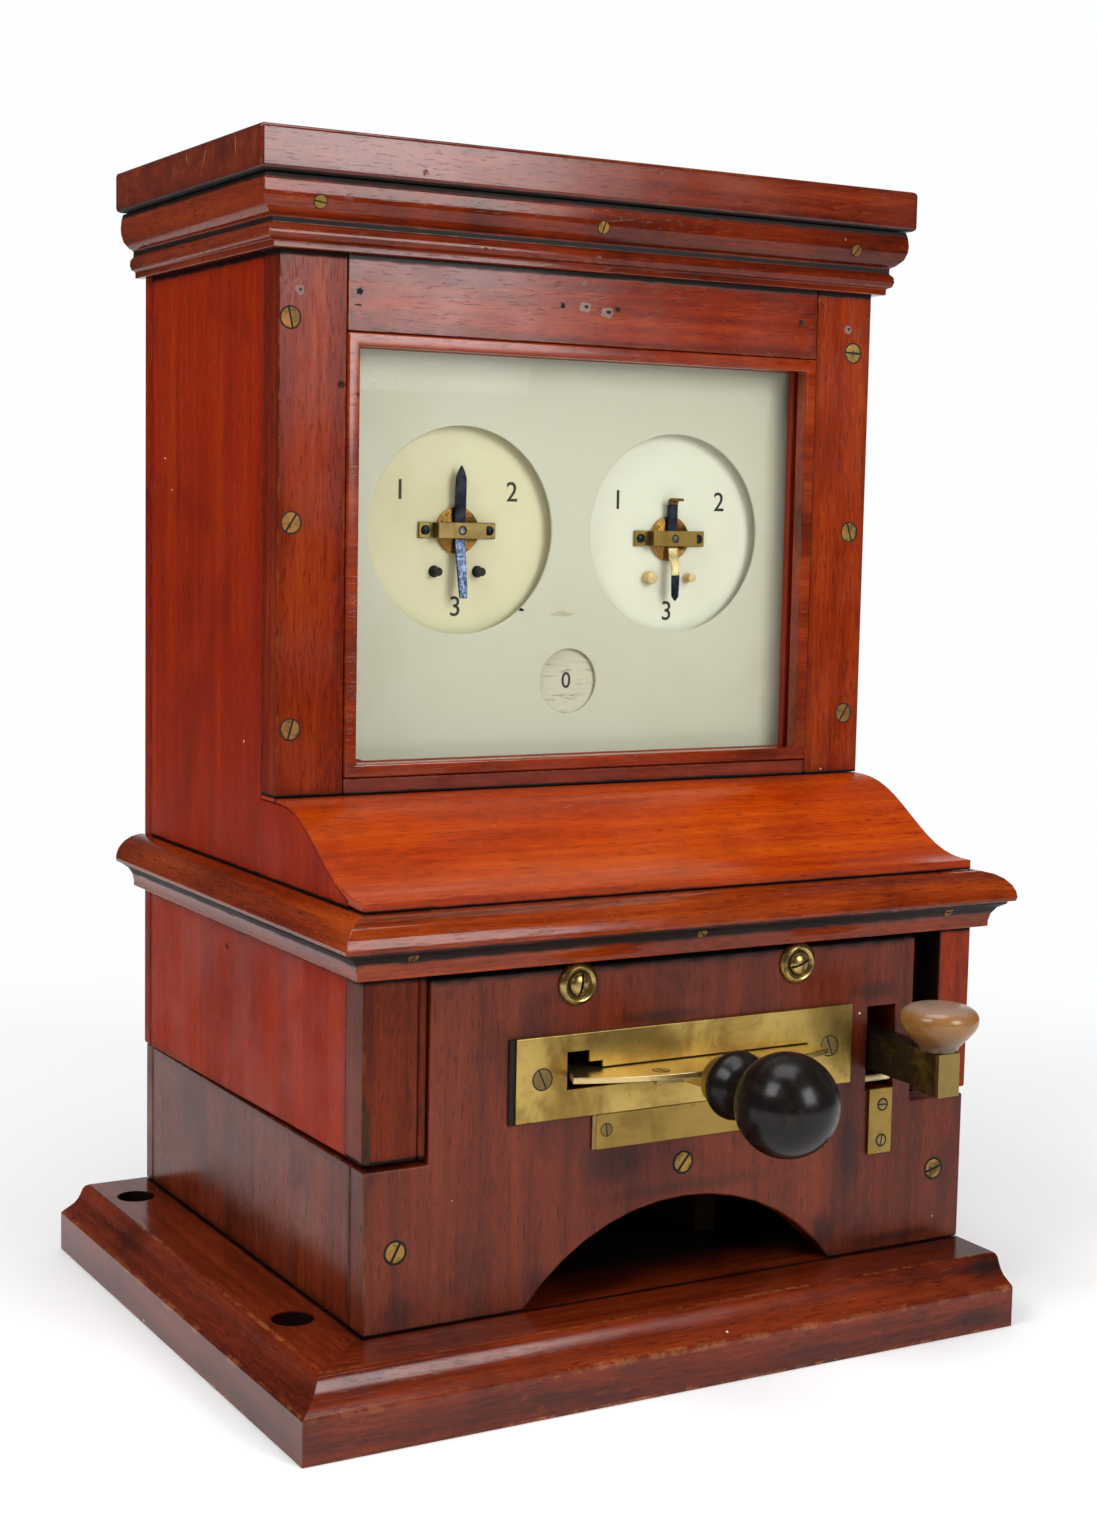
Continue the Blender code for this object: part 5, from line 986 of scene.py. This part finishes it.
def fasteners(kit):
    """Wood screws, cup washers, plate screws and the old nail holes of the head rail."""
    # Near black used as painted shade: in screw slots, in rings round sunk screws, in grooves, holes and the
    # notch, and as the strip beside the slot plate.
    shadow_black = Graph("screw_shadow").finish((0.010, 0.008, 0.006), 0.7, None, 0.0, 0.0, 0.1, 0.2)
    aged = brass("brass_aged_screw", (0.30, 0.165, 0.040), (0.050, 0.032, 0.014), 8.8, 1.0, 0.50, "Z", 260.0)
    brown = brass("brass_brown_screw", (0.24, 0.095, 0.026), (0.050, 0.030, 0.016), 9.4, 1.0, 0.55, "Z",
                  240.0)
    small, dark, bright = kit["small"], kit["dark"], kit["bright"]
    places = ((-0.120, 0.0554, 0.3, aged), (-0.001, 0.0732, 0.1, aged), (0.1183, 0.0560, 2.6, aged))
    screw_row("panel_screw", FRONT_PLANE, 0.0037, places, "base", sunk=0.0009, rim=shadow_black, slot=0.28,
              bury=0.0001)
    cup = ((0.0081, 0), (0.0081, 0.0007), (0.0074, 0.0017), (0.0062, 0.0024), (0.0052, 0.0020),
           (0.0046, 0.0010), (0, 0.0010))
    groove = ((0.0049, 0.0009), (0.0049, 0.0012), (0.0036, 0.0012), (0, 0.0012))
    # The cup screws' slots and the groove round each head are black: painted shade.
    for i, (x, turn) in enumerate(((-0.0483, 36), (0.0483, -26))):
        centre = (x, FRONT_PLANE, 0.1450)
        lathe("cup_washer_%d" % i, cup, centre, (0, -1, 0), kit["cup"], "base")
        screw("cup_screw_%d" % i, (x, FRONT_PLANE - 0.0010, 0.1450), (0, -1, 0), 0.0042, kit["cup"], "base",
              math.radians(turn), dome=0.0026, slot=0.22, depth=0.7, inside=shadow_black)
        lathe("cup_groove_%d" % i, groove, centre, (0, -1, 0), shadow_black, "base", 48)
    low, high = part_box("slot_plate")
    plate = low.y
    # A black strip beside the slot plate's left edge: a painted shadow of the plate, not a part of the
    # instrument.
    sheet("plate_shadow_strip", (low.x - 0.0022, low.x + 0.001), (low.z - 0.0006, high.z - 0.0004),
          (FRONT_PLANE - 0.0011, FRONT_PLANE - 0.00002), shadow_black)
    low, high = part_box("blank_plate")
    sheet("blank_backing", (low.x - 0.0016, low.x + 0.001), (low.z + 0.0002, high.z),
          (FRONT_PLANE - 0.0010, FRONT_PLANE - 0.00002), dark)
    places = ((-0.0634, 0.1117, 1.2, dark), (0.0634, 0.1117, 1.15, dark))
    screw_row("plate_screw", plate, 0.0039, places, "base", rim=shadow_black, sunk=0.0003, slot=0.16,
              inside=bright, bury=0.0003)
    places = ((-0.0355, 0.0899, 0.9, dark), (0.0355, 0.0899, 2.0, dark))
    screw_row("blank_screw", low.y, 0.0024, places, "base", rim=shadow_black, sunk=0.0002, slot=0.2, bury=0.0003)
    places = ((0.0907, 0.0855, 2.3, dark), (0.0905, 0.0712, 0.6, dark))
    screw_row("stop_screw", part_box("key_stop_plate")[0].y, 0.0020, places, "base", rim=shadow_black, sunk=0.0006,
              slot=0.30, bury=0.0003, inside=bright)
    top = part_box("guide_quadrant")[1].z
    for i, x in enumerate((-0.021, 0.021)):
        screw("quadrant_screw_%d" % i, (x, -0.1245, top), (0, 0, 1), 0.0031, small, "base", 0.8 + i,
              rim=shadow_black, sunk=0.0002, slot=0.2, bury=0.0003)
    places = ((-0.1285, 0.382, 1.0, brown), (-0.1277, 0.308, 0.2, brown), (-0.1274, 0.232, 0.5, brown),
              (0.1245, 0.382, 2.3, aged), (0.1254, 0.308, 1.1, aged), (0.1254, 0.232, 0.2, brown))
    screw_row("stile_screw", STILE_PLANE, 0.0038, places, "hood", rim=shadow_black, sunk=0.0005, slot=0.20,
              bury=0.0002)
    places = ((-0.1215, 2.2, small), (-0.0035, 0.6, aged), (0.1170, 0.2, brown))
    landed_row("cornice_screw", "cornice", 0.4225, 0.0024, places, shadow_black)
    places = ((-0.118, 0.4, brown), (0.0, 1.4, aged), (0.1154, 2.4, brown))
    landed_row("cove_screw", "middle_moulding", 0.1612, 0.0021, places, shadow_black)
    fibre = painted("torn_fibre", (0.22, 0.13, 0.11), (0.07, 0.04, 0.035), 9.0, 0.7, 0.9)
    # Nail holes and the pits in torn fibres are black patches: painted shade.
    for i, (kind, x, z, wide, tall) in enumerate(RAIL_MARKS):
        finish = shadow_black if kind == "hole" else fibre
        patch("rail_mark_%d" % i, (x, STILE_PLANE, z), (wide, tall), finish, "hood", i)
        if kind == "fibre":
            centre = (x + wide * 0.2, STILE_PLANE, z + tall * 0.1)
            patch("rail_pit_%d" % i, centre, (wide * 0.35, tall * 0.35), shadow_black, "hood", i + 3, SMALL * 2)
    old_marks(shadow_black)


def old_marks(shadow_black):
    """Scratches, a worn corner, a splinter in the window and a stain on the mask."""
    pale = painted("scratched_polish", (0.46, 0.22, 0.11), (0.26, 0.10, 0.05), 10.0, 0.6, 0.9)
    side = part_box("hood_lid")[0].x
    for i, (low, high) in enumerate(LID_SCRATCHES):
        scratch("lid_scratch_%d" % i, (side, *low), (side, *high), (-1, 0, 0), 0.00016, pale)
    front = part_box("lower_stile_left")[0]
    worn = wood("worn_corner", INNER_TONES, "Z", None, 23.0, gloss=0.7, specular=0.1, specks=0.0)
    outline = ((0.0, 0.0006), (0.0023, 0.0004), (0.0026, 0.0060), (0.0019, 0.0110), (0.0021, 0.0160),
               (0.0011, 0.0205), (0.0006, 0.0240), (0.0, 0.0245))
    rings = [[(front.x + 0.0003 + u, front.y + along, front.z + v) for u, v in outline]
             for along in (-SMALL * 2, SUNK)]
    loft("worn_corner", rings, worn, "hood")
    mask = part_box("mask_plate")[0].y
    stain = painted("mask_stain", (0.47, 0.44, 0.31), (0.40, 0.36, 0.24), 11.0, 0.5, 0.9)
    patch("mask_stain", (-0.0035, mask, 0.2735), (0.0050, 0.0010), stain, "base", 2, SMALL * 0.5, 24, 0.5)
    # The notch is a black patch: painted shade.
    patch("mask_notch", (-0.0220, mask, 0.2752), (0.0011, 0.0006), shadow_black, "base", 1)
    torn = wood("splinter", SIDE_TONES, "X", None, 24.0, gloss=0.6, specular=0.1, specks=0.0)
    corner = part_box("window_bead")[0]
    patch("splinter", (corner.x + 0.0105, mask, corner.z + 0.0042), (0.0046, 0.0010), torn, "base", 5,
          0.0006, 12, 0.5)


# Light, floor and camera


def studio():
    """A pale table in a studio that is white behind the object and dark in front of it."""
    graph = Graph("floor")
    graph.finish((0.86, 0.86, 0.86), 0.65, specular=0.1)
    reach = graph.wire(graph.node("VectorMath", operation="LENGTH"), {0: graph.place}, "Value")
    seen = graph.node("LightPath").outputs["Is Camera Ray"]
    share = graph.times(graph.span(reach, 0.28, 0.72), seen)
    white = graph.wire(graph.node("Emission"), {"Color": WHITE})
    blend = graph.wire(graph.node("MixShader"), {0: share, 1: graph.shader.outputs[0], 2: white})
    graph.feed(graph.tree.nodes["Material Output"].inputs[0], blend)
    bm = bmesh.new()
    corners = []
    for i in range(96):
        turn = 2 * math.pi * i / 96
        place = (FLOOR_RADIUS * math.cos(turn), FLOOR_RADIUS * math.sin(turn), FLOOR_HEIGHT)
        corners.append(bm.verts.new(place))
    bm.faces.new(corners)
    mesh = bpy.data.meshes.new("floor")
    bm.to_mesh(mesh)
    bm.free()
    mesh.materials.append(graph.owner)
    floor = link(bpy.data.objects.new("floor", mesh))
    sky = Graph("studio", world=True)
    bpy.context.scene.world = sky.owner
    path = sky.node("LightPath").outputs
    ahead = sky.node("VectorMath", operation="DOT_PRODUCT")
    facing = sky.wire(ahead, {0: sky.place, 1: WHITE_SIDE}, "Value")
    mirrored = sky.math("MAXIMUM", path["Is Glossy Ray"], path["Is Transmission Ray"])
    near = sky.span(facing, 0.80, 0.96, 0.07, 0.90)
    level = sky.wire(sky.node("MapRange"), {"Value": mirrored, "To Min": 0.50, "To Max": near})
    level = sky.wire(sky.node("MapRange"), {"Value": path["Is Camera Ray"], "To Min": level, "To Max": 1.0})
    sky.wire(sky.shader, {"Color": WHITE, "Strength": level})
    for name, place, target, width, height, power in LAMPS:
        light = bpy.data.lights.new(name, "AREA")
        light.shape = "RECTANGLE"
        light.size = width
        light.size_y = height
        light.energy = power
        made = link(bpy.data.objects.new(name, light))
        made.location = place
        made.rotation_euler = (Vector(target) - Vector(place)).to_track_quat("-Z", "Y").to_euler()
        made.visible_camera = False


def camera():
    ahead = Vector(CAMERA_AHEAD).normalized()
    right = ahead.cross(Vector((0, 0, 1))).normalized()
    up = right.cross(ahead).normalized()
    tilted_right = right * math.cos(CAMERA_ROLL) + up * math.sin(CAMERA_ROLL)
    tilted_up = up * math.cos(CAMERA_ROLL) - right * math.sin(CAMERA_ROLL)
    data = bpy.data.cameras.new("camera")
    data.lens = CAMERA_LENS
    data.shift_x, data.shift_y = CAMERA_SHIFT
    made = link(bpy.data.objects.new("camera", data))
    basis = Matrix((tilted_right, tilted_up, -ahead)).transposed().to_4x4()
    made.matrix_world = Matrix.Translation(CAMERA_PLACE) @ basis
    bpy.context.scene.camera = made


def build():
    ink = painted("dial_ink", (0.020, 0.018, 0.016), (0.05, 0.045, 0.04), 0.0, 0.55, 0.6)
    case_looks()
    kit = brass_looks()
    handle_looks()
    key_knob_looks()
    dial_looks(ink)
    needle_looks()
    inner_looks()
    fasteners(kit)
    studio()
    camera()
    bpy.context.scene.view_settings.view_transform = "Standard"


build()
